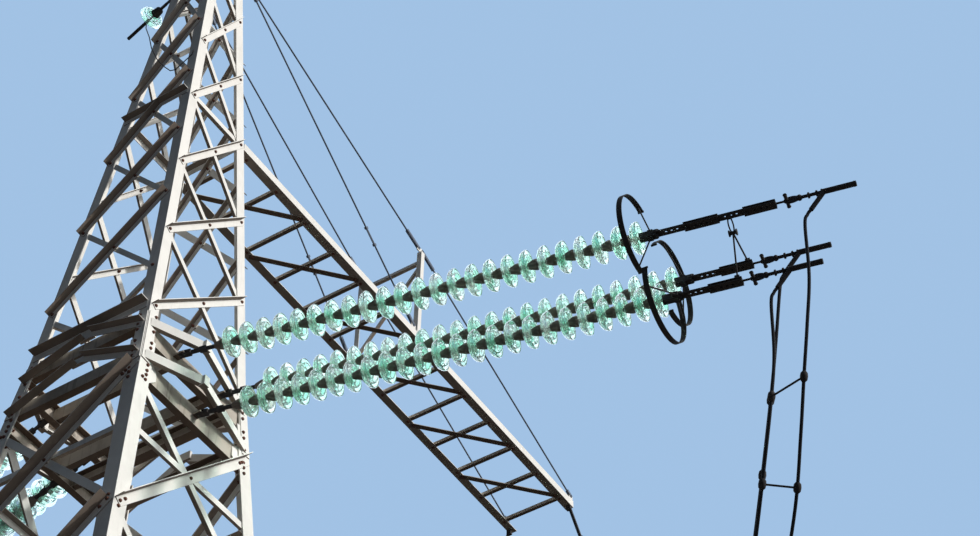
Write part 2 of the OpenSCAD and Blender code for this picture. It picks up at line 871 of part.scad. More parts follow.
// Open band around a string's end: middle angle, half span, angle of its arms,
// and a shift along the string that keeps it clear of its neighbour
module guard_ring(at, mid, span, arm, pads, shift) {
    on_string(at.x, at.y, at.z, string_end - ring_band / 2 + shift) {
        rotate([0, ring_tilt, 0])
            rotate([0, 0, mid - span]) {
                rotate_extrude(angle = 2 * span, $fn = 72)
                    translate([ring_r - 3, 0])
                        square([6, ring_band]);
                for (e = [0, 2 * span])
                    rotate([0, 0, e])
                        translate([ring_r - 4, 0, -2])
                            cylinder(h = ring_band + 4, d = 20, $fn = 24);
            }
        for (e = [0, 1])
            ring_arm(mid + (e > 0 ? arm : -arm), pads[e]);
    }
}

// Pad on the side of a string's link plates and the rod from it to the band
module ring_arm(a, side) {
    grip = (side == 0 || side == 180 ? body_x : body_y) / 2 + seat_gap;
    v = (ring_r - 1) * [cos(a), sin(a)];
    rod([(grip + 9) * cos(side), (grip + 9) * sin(side), 130],
        [v.x * cos(ring_tilt), v.y, ring_band / 2 - v.x * sin(ring_tilt)], 14);
    rotate([0, 0, side])
        translate([grip, -22, 105])
            cube([18, 44, 50]);
}

module guard_rings(back) {
    color(cable_grey)
        mirror([0, back ? 1 : 0, 0]) {
            guard_ring(left_at, 180, 97, 88, [90, 270], 0);
            guard_ring(right_at, 31, 127, 86, [270, 90], -24);
            guard_ring(low_at, 291, 114, 86, [180, 0], 24);
        }
}

module base_shoes() {
    color(steel)
        for (k = [0 : 3])
            rotate([0, 0, 90 * k]) {
                translate([-foot_c, -foot_c, 0])
                    difference() {
                        translate([-foot_w / 2, -foot_w / 2, 0])
                            cube([foot_w, foot_w, foot_t]);
                        for (x = [-1, 1], y = [-1, 1])
                            translate([x * bolt_pitch / 2, y * bolt_pitch / 2, -1])
                                cylinder(h = foot_t + 2, d = bolt_hole_d, $fn = 32);
                    }
                for (f = [0, 1])
                    mirror([f, -f, 0])
                        foot_rib();
            }
}

// Stiffening rib that stands on the base plate against the leg's outer face
module foot_rib() {
    w = half_w(foot_t) + seat_gap;
    reach = foot_c + foot_w / 2 - w - 20;
    lean_in = low_slope * foot_rib_h;
    translate([-w + low_leg_a / 2 - 8, -w, foot_t - 1])
        rotate([90, 0, 90])
            linear_extrude(16)
                polygon([[0, 0], [-reach, 0], [-reach, 30],
                         [lean_in - 25, foot_rib_h], [lean_in, foot_rib_h]]);
}

// Support string under the arm tip, and the seats of the cables under it
hang_x = arm_end - 60;
hang_y = arm_half - 30;
hang_top = arm_z - chord_a / 2;
hang_len = hang_link + hang_discs * disc_pitch + 100;
// A point of the front support string, a distance down from the arm
function hang_pt(t) = [hang_x, -hang_y - t * sin(hang_lean), hang_top - t * cos(hang_lean)];
hang_bar = hang_pt(hang_len + 100);
seats = [[-seat_x, 0, -seat_drop], [seat_x, 0, -seat_drop], [0, 0, -seat_low_drop]];
function cable_at(k) = [left_at, right_at, low_at][k];
function cable_start(k) = string_at(cable_at(k), 0, -(lug_l + seat_gap) * cos(lug_tilt),
    clamp_start(cable_at(k)) + lug_at - (lug_l + seat_gap) * sin(lug_tilt));
function lug_dir() = -cos(lug_tilt) * string_up() - sin(lug_tilt) * string_dir();
// Route of a cable: share of the way to the seat, and sag below the chord line
sag_route = [[0, 0], [0.003, 80], [0.006, 220], [0.01, 400], [0.016, 620],
    [0.03, 1020], [0.05, 1400], [0.075, 1790], [0.11, 2200], [0.17, 2650],
    [0.25, 3000], [0.35, 3250], [0.46, 3280], [0.58, 3020], [0.7, 2440],
    [0.82, 1530], [0.91, 700], [0.96, 220], [0.985, 50], [1, 0]];
function bezier(a, b, c, d, f) = a * pow(1 - f, 3) + b * 3 * f * pow(1 - f, 2)
    + c * 3 * f * f * (1 - f) + d * pow(f, 3);
function front_pt(k, f, sag) =
    let (a = cable_start(k), d = hang_bar + seats[k],
         b = a + (d - a) * 0.4 + [0, 1200, 0], c = d - [0, 1200, 0],
         p = bezier(a, b, c, d, f))
    [p.x, p.y, a.z + (d.z - a.z) * f - sag];
function flip_y(p) = [p.x, -p.y, p.z];
function front_half(k) = [for (r = sag_route) front_pt(k, r[0], r[1])];
function route(k) =
    let (h = front_half(k), n = len(h))
    concat(h, [for (i = [1 : n]) flip_y(h[n - i])]);
function unit(v) = v / norm(v);
function tangent(r, i, t0, t1) = i == 0 ? t0
    : i == len(r) - 1 ? t1
    : r[i + 1] - r[i - 1];
function ring_at(p, t, d, sides) =
    let (e = unit(cross(t, [0, 0, 1])), g = cross(unit(t), e))
    [for (j = [0 : sides - 1])
        p + d / 2 * (cos(360 * j / sides) * e + sin(360 * j / sides) * g)];

// Tube swept along a list of points, with its directions at both ends
module tube(r, d, t0, t1, sides = 8) {
    n = len(r);
    pts = [for (i = [0 : n - 1])
        each ring_at(r[i], unit(tangent(r, i, t0, t1)), d, sides)];
    walls = [for (i = [0 : n - 2], j = [0 : sides - 1])
        let (a = i * sides + j, b = i * sides + (j + 1) % sides)
        [a, a + sides, b + sides, b]];
    caps = [[for (j = [0 : sides - 1]) j],
            [for (j = [0 : sides - 1]) n * sides - 1 - j]];
    polyhedron(pts, concat(walls, caps));
}

module jumper_cables() {
    color(cable_grey)
        for (k = [0 : 2])
            tube(route(k), jumper_d, lug_dir(), -flip_y(lug_dir()));
}

// Spacer rods between the cables, at the given points of the first cable's route
module jumper_spacers() {
    color(dark_steel)
        for (s = [0, 1], i = [6, 8, 11, 14])
            mirror([0, s, 0])
                for (k = [0, 1]) {
                    a = front_half(k)[k == 0 ? i : i - 1];
                    b = front_half(2)[i - 1];
                    g = (jumper_d / 2 + 10) * unit(b - a);
                    rod(a + g, b - g, 14);
                }
}

// Places its children at a distance down both jumper support strings
module at_hang(t) {
    for (m = [0, 1])
        mirror([0, m, 0])
            translate(hang_pt(t))
                rotate([180 - hang_lean, 0, 0])
                    children();
}

module jumper_string_glass() {
    color(glass_green)
        at_hang(hang_link + 100)
            disc_row(hang_discs)
                glass_disc();
}

module jumper_string_fittings() {
    color(dark_steel) {
        at_hang(hang_link + 100)
            disc_row(hang_discs)
                disc_cap();
        at_hang(25)
            translate([-15, -17, 0])
                cube([30, 34, hang_link - 25 + 1]);
        at_hang(hang_len - 30)
            translate([-15, -17, 0])
                cube([30, 34, 130]);
        for (m = [0, 1])
            mirror([0, m, 0]) {
                translate([hang_x - 20, -hang_y - 30, hang_top - seat_gap - 70])
                    cube([40, 60, 70]);
                translate(hang_bar + [-seat_x - 30, -26, -30])
                    cube([2 * seat_x + 60, 52, 60]);
                for (p = seats)
                    translate(hang_bar + [p.x - 17, -20, p.z + jumper_d / 2 + seat_gap])
                        cube([34, 40, -p.z - jumper_d / 2]);
            }
    }
}

// Earth wire fitting: leg ear, one disc, dead-end clamp
module earth_wire_set(back) {
    color(dark_steel) {
        mirror([0, back ? 1 : 0, 0])
            translate([earth_at.x - 8, -earth_at.y, earth_at.z - 45])
                cube([16, 60 - seat_gap, 90]);
        on_string(earth_at.x, earth_at.y, earth_at.z, 0, back) {
            translate([-6, -30, -20])
                cube([12, 60, 120]);
            translate([-14, -14, 90])
                cube([28, 28, 111]);
            translate([0, 0, 300])
                disc_cap();
            difference() {
                translate([0, 0, 369])
                    cylinder(h = 420, d = 40, $fn = 32);
                translate([0, 0, 689])
                    cylinder(h = 101, d = earth_wire_d, $fn = 32);
            }
        }
    }
}

// Bonding wires of the earth wire clamps, hanging down to the front left leg
module earth_bonds() {
    reach = 450;
    w = half_w(waist_z + 4470);
    clamp = [for (y = [-1, 1])
        [earth_at.x + reach * string_dir().x,
         y * (earth_at.y - reach * string_dir().y),
         earth_z + reach * string_dir().z - 20 - earth_wire_d / 2 - seat_gap]];
    out = -w - earth_wire_d / 2 - seat_gap;
    clear = out - mast_brace_a - 12;
    color(cable_grey) {
        tube([clamp[1], [-200, 720, waist_z + 6000], [-440, 363, waist_z + 5285],
              [clear + 10, 225, waist_z + 4907], [clear, 90, waist_z + 4600],
              [clear, -36, waist_z + 4386], [clear + 10, -137, waist_z + 4249],
              [clear + 30, -194, waist_z + 4251], [out - 2, 70 - w, waist_z + 4483],
              [out, 64 - w, waist_z + 4560]],
             earth_wire_d, [-0.3, -0.1, -1], [0, -0.5, 1]);
        tube([clamp[0], clamp[0] + [-20, 30, -160], clamp[0] + [-60, 110, -330],
              [-340, out + 60, waist_z + 5760], [-380, out, waist_z + 5850]],
             earth_wire_d, [-0.1, 0.2, -1], [0.05, 0, 1]);
    }
}

base_shoes();
lower_leg(0);  // lower_leg_front_left
lower_leg(1);  // lower_leg_front_right
lower_leg(2);  // lower_leg_rear_right
lower_leg(3);  // lower_leg_rear_left
upper_leg(0);  // upper_leg_front_left
upper_leg(1);  // upper_leg_front_right
upper_leg(2);  // upper_leg_rear_right
upper_leg(3);  // upper_leg_rear_left
leg_splices();
lower_face(0);  // lower_bracing_front
lower_face(1);  // lower_bracing_right
lower_face(2);  // lower_bracing_rear
lower_face(3);  // lower_bracing_left
mast_face(0, mast_levels);  // mast_bracing_front
mast_face(1, side_levels);  // mast_bracing_right
mast_face(2, mast_levels);  // mast_bracing_rear
mast_face(3, side_levels);  // mast_bracing_left
waist_braces();
upper_ring_beams();
lower_ring_beams();
string_brackets();
mast_head();
arm_chord(-1);  // arm_chord_front
arm_chord(1);  // arm_chord_rear
arm_lacing();
arm_portal();
stays(-1);  // stays_front
stays(1);  // stays_rear
tension_glass(left_at, false);  // front_glass_left
tension_glass(right_at, false);  // front_glass_right
tension_glass(low_at, false);  // front_glass_low
tension_glass(left_at, true);  // rear_glass_left
tension_glass(right_at, true);  // rear_glass_right
tension_glass(low_at, true);  // rear_glass_low
tension_caps(false);  // front_caps
tension_caps(true);  // rear_caps
beam_fittings(false);  // front_beam_fittings
beam_fittings(true);  // rear_beam_fittings
link_plates(false);  // front_link_plates
link_plates(true);  // rear_link_plates
guard_rings(false);  // front_guard_rings
guard_rings(true);  // rear_guard_rings
dead_ends(false);  // front_dead_ends
dead_ends(true);  // rear_dead_ends
jumper_cables();
jumper_spacers();
jumper_string_glass();
jumper_string_fittings();
earth_wire_set(false);  // front_earth_wire_set
earth_wire_set(true);  // rear_earth_wire_set
earth_wire_glass();
earth_bonds();
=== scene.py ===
"""Dresses the lattice transmission pylon: its finishes, glass discs, iron caps,
bolts, plates, fittings, cables, and the stage that it is shown on."""

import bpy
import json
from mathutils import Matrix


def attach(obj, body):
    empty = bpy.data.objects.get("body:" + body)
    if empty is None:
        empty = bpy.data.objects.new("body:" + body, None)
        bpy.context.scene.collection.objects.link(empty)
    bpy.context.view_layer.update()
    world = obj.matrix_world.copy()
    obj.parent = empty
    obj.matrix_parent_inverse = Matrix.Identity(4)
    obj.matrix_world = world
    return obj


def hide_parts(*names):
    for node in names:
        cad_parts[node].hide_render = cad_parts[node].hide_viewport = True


bl_info = {
    "name": "Lattice Pylon Dressing",
    "version": (1, 0, 0),
    "blender": (4, 5, 0),
    "location": "View3D > Sidebar > Pylon",
    "description": "Dresses a lattice transmission pylon with its finishes and small parts",
    "category": "Object",
}

import json
import math

import bpy
import numpy as np
from mathutils import Matrix

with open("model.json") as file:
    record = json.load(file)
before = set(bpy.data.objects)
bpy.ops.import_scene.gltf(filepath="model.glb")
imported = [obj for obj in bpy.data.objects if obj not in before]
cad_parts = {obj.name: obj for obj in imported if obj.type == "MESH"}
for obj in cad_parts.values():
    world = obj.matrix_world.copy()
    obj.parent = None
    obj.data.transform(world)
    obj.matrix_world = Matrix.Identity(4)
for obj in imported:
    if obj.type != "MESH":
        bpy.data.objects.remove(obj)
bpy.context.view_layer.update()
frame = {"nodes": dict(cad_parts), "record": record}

# All sizes are in metres. The tower: its waist, its widths over the legs, how far a leg
# leans in for each metre of height, and the joint between the mast and the lower body
WAIST_Z, MAST_H = 17.0, 6.9
BASE_W, WAIST_W, TOP_W = 4.76, 1.46, 0.48
LOW_LEAN = (BASE_W - WAIST_W) / 2 / WAIST_Z
UP_LEAN = (WAIST_W - TOP_W) / 2 / MAST_H
JOINT_Z = WAIST_Z - 0.42

# Heights of the brace nodes: front and rear of the mast, its sides, and the lower body. In
# the body a falling brace ends STAGGER beside a rising one, and the first is at INNER_START
MAST_LEVELS = WAIST_Z + np.cumsum([0.05, 1.22, 1.18, 1.24, 1.12, 1.05, 0.63])
SIDE_LEVELS = WAIST_Z + np.cumsum([0.665, 1.22, 1.14, 1.12, 1.09, 1.0])
BODY_LEVELS = np.append(WAIST_Z - 0.84 - np.cumsum([0, 1.85, 2.2, 2.6, 3.0, 3.3]), 0.33)
STAGGER, INNER_START = 0.06, WAIST_Z - 1.01

# Thicknesses of legs, braces and plates, and the rows of bolts with their distances from
# the heel of the leg: through the braces, the cover plates and the gusset plates
LOW_LEG_T, UP_LEG_T = 0.014, 0.012
LOW_BRACE_T, UP_BRACE_T = 0.008, 0.007
COVER_T, GUSSET_T = 0.0101, 0.01
GAUGE, COVER_GAUGE, GUSSET_GAUGE = 0.065, 0.092, 0.105
COVER_ROWS = JOINT_Z + np.array([-0.31, -0.235, -0.16, -0.085, 0.085, 0.16, 0.235, 0.31])
GUSSET_ROWS = BODY_LEVELS[0] + np.array([0.03, -0.05, -0.11, -0.18])

# The arm: its height, half width and bays along X, its chords, and the place of its posts
ARM_Z, ARM_HALF = WAIST_Z + 3.735, 0.47
ARM_START, ARM_BAY, ARM_BAYS, ARM_TIP = 0.6, 0.536, 12, 0.23
ARM_END = ARM_START + ARM_BAYS * ARM_BAY + ARM_TIP
CHORD_A = 0.105
CHORD_LOW = ARM_Z - CHORD_A / 2
POST_X = ARM_START + 6 * ARM_BAY

# Tension strings: the turn and dip of the line, the discs, the start of each front string,
# the distance along it to its link plates, and the length of these
LINE_TURN, LINE_DIP = math.radians(11.8), math.radians(1.8)
DISCS, DISC_PITCH, FIRST_DISC = 24, 0.17, 0.472
STRING_Y, STRING_END = 0.7920353, 4.452
STRINGS = {"left": (-0.31, -STRING_Y, 16.67), "right": (0.31, -STRING_Y, 16.67),
           "low": (0.01, -STRING_Y - 0.02, 16.16)}
LINKS = {"left": 1.23, "right": 0.72, "low": 0.72}
LINK_START = 0.165

# Clamps: the shackle in front of one, and the place, length and lean of its jumper lug
SHACKLE, LUG_AT, LUG_L, LUG_TILT = 0.22, 0.2, 0.225, math.radians(34)
SEAT_GAP = 0.0003

# Support strings of the jumpers: where they hang from the arm, their lean, the link and the
# cap over the first disc, their length, and the bar under them
HANG_X, HANG_Y, HANG_Z = ARM_END - 0.06, ARM_HALF - 0.03, CHORD_LOW
HANG_LEAN, HANG_LINK, HANG_CAP = math.radians(15), 0.62, 0.1
HANG_LEN = HANG_LINK + DISCS * DISC_PITCH + HANG_CAP
HANG_BAR = HANG_LEN + 0.1

# Jumper cables: fractions of the way from a lug to its seat with the sag under the straight
# line there, the seats beside the middle of the bar, how far a cable drifts sideways and
# over which fraction it does so, and the heights of the spacers' clamps on each cable
SAG = [(0, 0), (0.003, 0.08), (0.006, 0.22), (0.01, 0.4), (0.016, 0.62), (0.03, 1.02),
       (0.05, 1.4), (0.075, 1.79), (0.11, 2.2), (0.17, 2.65), (0.25, 3.0), (0.35, 3.25),
       (0.46, 3.28), (0.58, 3.02), (0.7, 2.44), (0.82, 1.53), (0.91, 0.7), (0.96, 0.22),
       (0.985, 0.05), (1, 0)]
SEATS = {"left": (-0.2, 0, -0.16), "right": (0.2, 0, -0.16), "low": (0.0, 0, -0.46)}
DRIFTS = {"left": (0.135, 0.13), "right": (-0.08, 0.02), "low": (-0.01, 0.02)}
SPACER_HEIGHTS = [(14.87, 15.15, 14.81), (14.13, 14.57, 14.21), (13.45, 13.75, 13.35),
                  (13.08, 13.12, 12.75)]
CABLE_R, ROD_R = 0.0148, 0.009

UP = np.array([0.0, 0.0, 1.0])
TO_REAR = np.array([1, -1, 1])
SHARP_ANGLE = math.radians(40)


# Places on the tower and along the strings


def half_width(z):
    """Half width over the legs: it falls in a straight line to the waist, then to the top."""
    z = np.asarray(z, float)
    low = WAIST_W / 2 + LOW_LEAN * (WAIST_Z - z)
    up = WAIST_W / 2 - UP_LEAN * (z - WAIST_Z)
    return np.where(z < WAIST_Z, low, up)


def unit(v):
    """Vectors along the last axis, each divided by its length."""
    v = np.asarray(v, float)
    return v / np.linalg.norm(v, axis=-1, keepdims=True)


def basis(origin, z_axis, x_hint):
    """4 by 4 placements whose z runs along z_axis and whose x is x_hint made square to it."""
    origin, z_axis, x_hint = np.broadcast_arrays(np.asarray(origin, float), unit(z_axis),
                                                 np.asarray(x_hint, float))
    x_axis = unit(x_hint - (x_hint * z_axis).sum(-1, keepdims=True) * z_axis)
    place = np.zeros(origin.shape[:-1] + (4, 4))
    place[..., :3, 0] = x_axis
    place[..., :3, 1] = np.cross(z_axis, x_axis)
    place[..., :3, 2] = z_axis
    place[..., :3, 3] = origin
    place[..., 3, 3] = 1
    return place


def string_axes():
    """Direction of the front strings, turned by LINE_TURN from -Y and dipped by LINE_DIP,
    and the level axis across it."""
    line = np.array([math.sin(LINE_TURN) * math.cos(LINE_DIP),
                     -math.cos(LINE_TURN) * math.cos(LINE_DIP), -math.sin(LINE_DIP)])
    return line, np.array([math.cos(LINE_TURN), math.sin(LINE_TURN), 0])


def string_place(start, t, back=False):
    """Placements at distances t along the string that starts at start, start + t line,
    for a front string or its mirror image at the rear."""
    flip = TO_REAR if back else 1
    line, cross = (axis * flip for axis in string_axes())
    t = np.atleast_1d(np.asarray(t, float))
    return basis(np.asarray(start) * flip + t[:, None] * line, line, cross)


def hang_point(t):
    """Point at distance t down the front support string, which leans out by HANG_LEAN."""
    t = np.asarray(t, float)
    return np.stack(np.broadcast_arrays(HANG_X, -(HANG_Y + t * math.sin(HANG_LEAN)),
                                        HANG_Z - t * math.cos(HANG_LEAN)), -1)


# Surfaces


class Shape:
    """Vertices with their quads and triangles, as whole arrays."""

    def __init__(self, points, quads=(), tris=()):
        self.points = np.asarray(points, float).reshape(-1, 3)
        self.quads = np.asarray(quads, int).reshape(-1, 4)
        self.tris = np.asarray(tris, int).reshape(-1, 3)

    def copies(self, places):
        """The shape set at each 4 by 4 placement, as one shape."""
        places = np.asarray(places, float).reshape(-1, 4, 4)
        points = np.einsum("nij,mj->nmi", places[:, :3, :3], self.points)
        points += places[:, None, :3, 3]
        step = np.arange(len(places))[:, None, None] * len(self.points)
        return Shape(points.reshape(-1, 3), (self.quads[None] + step).reshape(-1, 4),
                     (self.tris[None] + step).reshape(-1, 3))

    def flipped(self):
        """The shape mirrored from front to rear, its faces still pointing outward."""
        return Shape(self.points * TO_REAR, self.quads[:, ::-1], self.tris[:, ::-1])

    def both(self):
        """The shape at the front and its mirror image at the rear, as one."""
        return Shape.joined([self, self.flipped()])

    @staticmethod
    def joined(shapes):
        """Several shapes put into one, each with its own vertices."""
        starts = np.cumsum([0] + [len(s.points) for s in shapes])
        return Shape(np.concatenate([s.points for s in shapes]),
                     np.concatenate([s.quads + a for s, a in zip(shapes, starts)]),
                     np.concatenate([s.tris + a for s, a in zip(shapes, starts)]))


def grid_quads(rows, cols, wrap_rows=False):
    """Quads of a grid whose columns close on themselves, and its rows if wrap_rows."""
    r = np.arange(rows if wrap_rows else rows - 1)[:, None]
    c = np.arange(cols)[None]
    a, b = r * cols + c, r * cols + (c + 1) % cols
    s = (r + 1) % rows
    return np.stack([a, b, s * cols + (c + 1) % cols, s * cols + c], -1).reshape(-1, 4)


def fan(ring, centre, outward):
    """Triangles from a ring of vertices to one centre vertex, turned outward."""
    ring = np.asarray(ring)
    nxt = np.roll(ring, -1)
    pair = (ring, nxt) if outward else (nxt, ring)
    return np.stack([pair[0], pair[1], np.full(len(ring), centre)], -1)


def capped(points, quads, sides, low, high):
    """Surface whose first and last rings of vertices are closed by fans to two centres."""
    n = len(points)
    first, last = np.arange(sides), n - sides + np.arange(sides)
    return Shape(np.concatenate([points, [low, high]]), quads,
                 np.concatenate([fan(first, n, False), fan(last, n + 1, True)]))


def turned(profile, sides, closed=False):
    """Surface of revolution: profile point (r, h) at angle a is (r cos a, r sin a, h).
    A closed profile meets itself; an open one is closed at both ends by a flat disc."""
    profile = np.asarray(profile, float)
    a = np.linspace(0, 2 * math.pi, sides, endpoint=False)
    r, h = profile[:, :1], profile[:, 1:]
    points = np.stack([r * np.cos(a), r * np.sin(a), h + 0 * a], -1).reshape(-1, 3)
    quads = grid_quads(len(profile), sides, closed)
    if closed:
        return Shape(points, quads)
    return capped(points, quads, sides, (0, 0, profile[0, 1]), (0, 0, profile[-1, 1]))


def sections(path, side, other, radius, sides):
    """Circle about each path point p, at angle a: p + radius (side cos a + other sin a)."""
    a = np.linspace(0, 2 * math.pi, sides, endpoint=False)[None, :, None]
    points = path[:, None] + radius * (np.cos(a) * side[:, None] + np.sin(a) * other[:, None])
    return points.reshape(-1, 3)


def tube(path, radius, sides):
    """Round section carried along a path, its frame turned as little as it can be: the side
    axis of one point, made square to the next tangent, is the next side axis."""
    path = np.asarray(path, float)
    tangent = unit(np.gradient(path, axis=0))
    side = np.zeros_like(path)
    hint = np.eye(3)[np.argmin(np.abs(tangent[0]))]
    for i, t in enumerate(tangent):
        hint = unit(hint - (hint @ t) * t)
        side[i] = hint
    points = sections(path, side, np.cross(tangent, side), radius, sides)
    return capped(points, grid_quads(len(path), sides), sides, path[0], path[-1])


def oval_ring(half_w, half_l, height, radius, bends):
    """Round bar bent to an ellipse in the plane x = 0: at angle t the bar's middle is
    (0, half_w sin t, height + half_l cos t)."""
    t = np.linspace(0, 2 * math.pi, bends, endpoint=False)
    path = np.stack([0 * t, half_w * np.sin(t), height + half_l * np.cos(t)], -1)
    tangent = unit(np.roll(path, -1, axis=0) - np.roll(path, 1, axis=0))
    side = np.broadcast_to(np.array([1.0, 0.0, 0.0]), path.shape)
    points = sections(path, side, np.cross(tangent, side), radius, 10)
    return Shape(points, grid_quads(bends, 10, True))


def prism(outline, depth):
    """Outline of (x, y) points, anticlockwise, carried along z by depth."""
    n = len(outline)
    low = np.column_stack([np.asarray(outline, float), np.zeros(n)])
    high = low + (0, 0, depth)
    return capped(np.concatenate([low, high]), grid_quads(2, n), n, low.mean(0), high.mean(0))


def block(size):
    """Box of the given size about the origin."""
    corner = np.array([[-1, -1, -1], [1, -1, -1], [1, 1, -1], [-1, 1, -1],
                       [-1, -1, 1], [1, -1, 1], [1, 1, 1], [-1, 1, 1]]) / 2
    quads = [(3, 2, 1, 0), (4, 5, 6, 7), (0, 1, 5, 4), (1, 2, 6, 5), (2, 3, 7, 6), (3, 0, 4, 7)]
    return Shape(corner * size, quads)


def smooth_path(points, steps):
    """Curve through all points: on each span p + c1 f + c2 f^2 + c3 f^3, with the tangent at
    a point half of the way from its neighbour before to its neighbour after."""
    p = np.asarray(points, float)
    tangent = np.gradient(p, axis=0)
    f = (np.arange(steps) / steps)[None, :, None]
    a, b, m, n = p[:-1, None], p[1:, None], tangent[:-1, None], tangent[1:, None]
    curve = (a * (2 * f**3 - 3 * f**2 + 1) + m * (f**3 - 2 * f**2 + f)
             + b * (3 * f**2 - 2 * f**3) + n * (f**3 - f**2))
    return np.concatenate([curve.reshape(-1, 3), p[-1:]])


def add_piece(name, shape, slot, replaces=(), material=None):
    """Puts a shape into a mesh object at the origin that rides on the root body, with the
    finish of its slot or a material of its own."""
    mesh = bpy.data.meshes.new(name)
    loops = np.concatenate([shape.quads.ravel(), shape.tris.ravel()])
    sizes = np.concatenate([np.full(len(shape.quads), 4), np.full(len(shape.tris), 3)])
    starts = np.concatenate([[0], np.cumsum(sizes)[:-1]])
    mesh.vertices.add(len(shape.points))
    mesh.vertices.foreach_set("co", shape.points.astype(np.float32).ravel())
    mesh.loops.add(len(loops))
    mesh.loops.foreach_set("vertex_index", loops.astype(np.int32))
    mesh.polygons.add(len(sizes))
    mesh.polygons.foreach_set("loop_start", starts.astype(np.int32))
    mesh.polygons.foreach_set("use_smooth", np.ones(len(sizes), bool))
    mesh.update(calc_edges=True)
    mesh.set_sharp_from_angle(angle=SHARP_ANGLE)
    if mesh.validate():
        raise RuntimeError(f"{name} has faces that Blender had to mend")
    piece = bpy.data.objects.new(name, mesh)
    bpy.context.scene.collection.objects.link(piece)
    piece.data.materials.append(material or finish_of(slot))
    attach(piece, "root")
    if replaces:
        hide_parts(*replaces)


# Materials


class Wiring:
    """Adds nodes to a shader tree. What a node is given is a value or another's output."""

    def __init__(self, tree):
        self.nodes, self.links = tree.nodes, tree.links

    def fill(self, node, inputs):
        """Gives each named or numbered input of a node its number, colour or output."""
        for label, value in inputs.items():
            socket = node.inputs[label]
            if isinstance(value, bpy.types.NodeSocket):
                self.links.new(value, socket)
            elif socket.type == "RGBA":
                socket.default_value = (*value[:3], 1)
            else:
                socket.default_value = value
        return node

    def node(self, kind, inputs=None):
        """New node of a kind with its inputs filled."""
        return self.fill(self.nodes.new(kind), inputs or {})

    def place(self):
        """Object coordinates."""
        return self.node("ShaderNodeTexCoord").outputs["Object"]

    def noise(self, vector, scale, detail=4.0, rough=0.55):
        """Fractal noise about 0.5."""
        return self.node("ShaderNodeTexNoise", {"Vector": vector, "Scale": scale,
                                                "Detail": detail,
                                                "Roughness": rough}).outputs["Fac"]

    def step(self, value, low, high, to_low=0.0, to_high=1.0):
        """Smooth step of a value from one range to another."""
        node = self.node("ShaderNodeMapRange", {"Value": value, "From Min": low,
                                                "From Max": high, "To Min": to_low,
                                                "To Max": to_high})
        node.interpolation_type = "SMOOTHSTEP"
        return node.outputs["Result"]

    def mix(self, factor, a, b):
        """Colour a (1 - factor) + b factor; both are outputs or colours."""
        node = self.node("ShaderNodeMix")
        node.data_type = "RGBA"
        return self.fill(node, {0: factor, 6: a, 7: b}).outputs[2]

    def calc(self, operation, a, b):
        """Sum, product or maximum of two values."""
        node = self.node("ShaderNodeMath", {0: a, 1: b})
        node.operation = operation
        return node.outputs[0]

    def relief(self, shader, height, strength, distance):
        """Bump from a height, given to the shader's Normal."""
        bump = self.node("ShaderNodeBump", {"Height": height, "Strength": strength,
                                            "Distance": distance})
        self.fill(shader, {"Normal": bump.outputs["Normal"]})


def new_material(name):
    """Fresh material: itself, its wiring and its Principled shader."""
    material = bpy.data.materials.new(name)
    material.use_nodes = True
    wiring = Wiring(material.node_tree)
    return material, wiring, wiring.nodes["Principled BSDF"]


def new_group(name, inputs, outputs):
    """Empty shader node group with named sockets, its input node and its output node."""
    group = bpy.data.node_groups.new(name, "ShaderNodeTree")
    for label, kind, default in inputs:
        socket = group.interface.new_socket(label, in_out="INPUT", socket_type=kind)
        socket.default_value = default
    for label, kind in outputs:
        group.interface.new_socket(label, in_out="OUTPUT", socket_type=kind)
    return group, group.nodes.new("NodeGroupInput"), group.nodes.new("NodeGroupOutput")


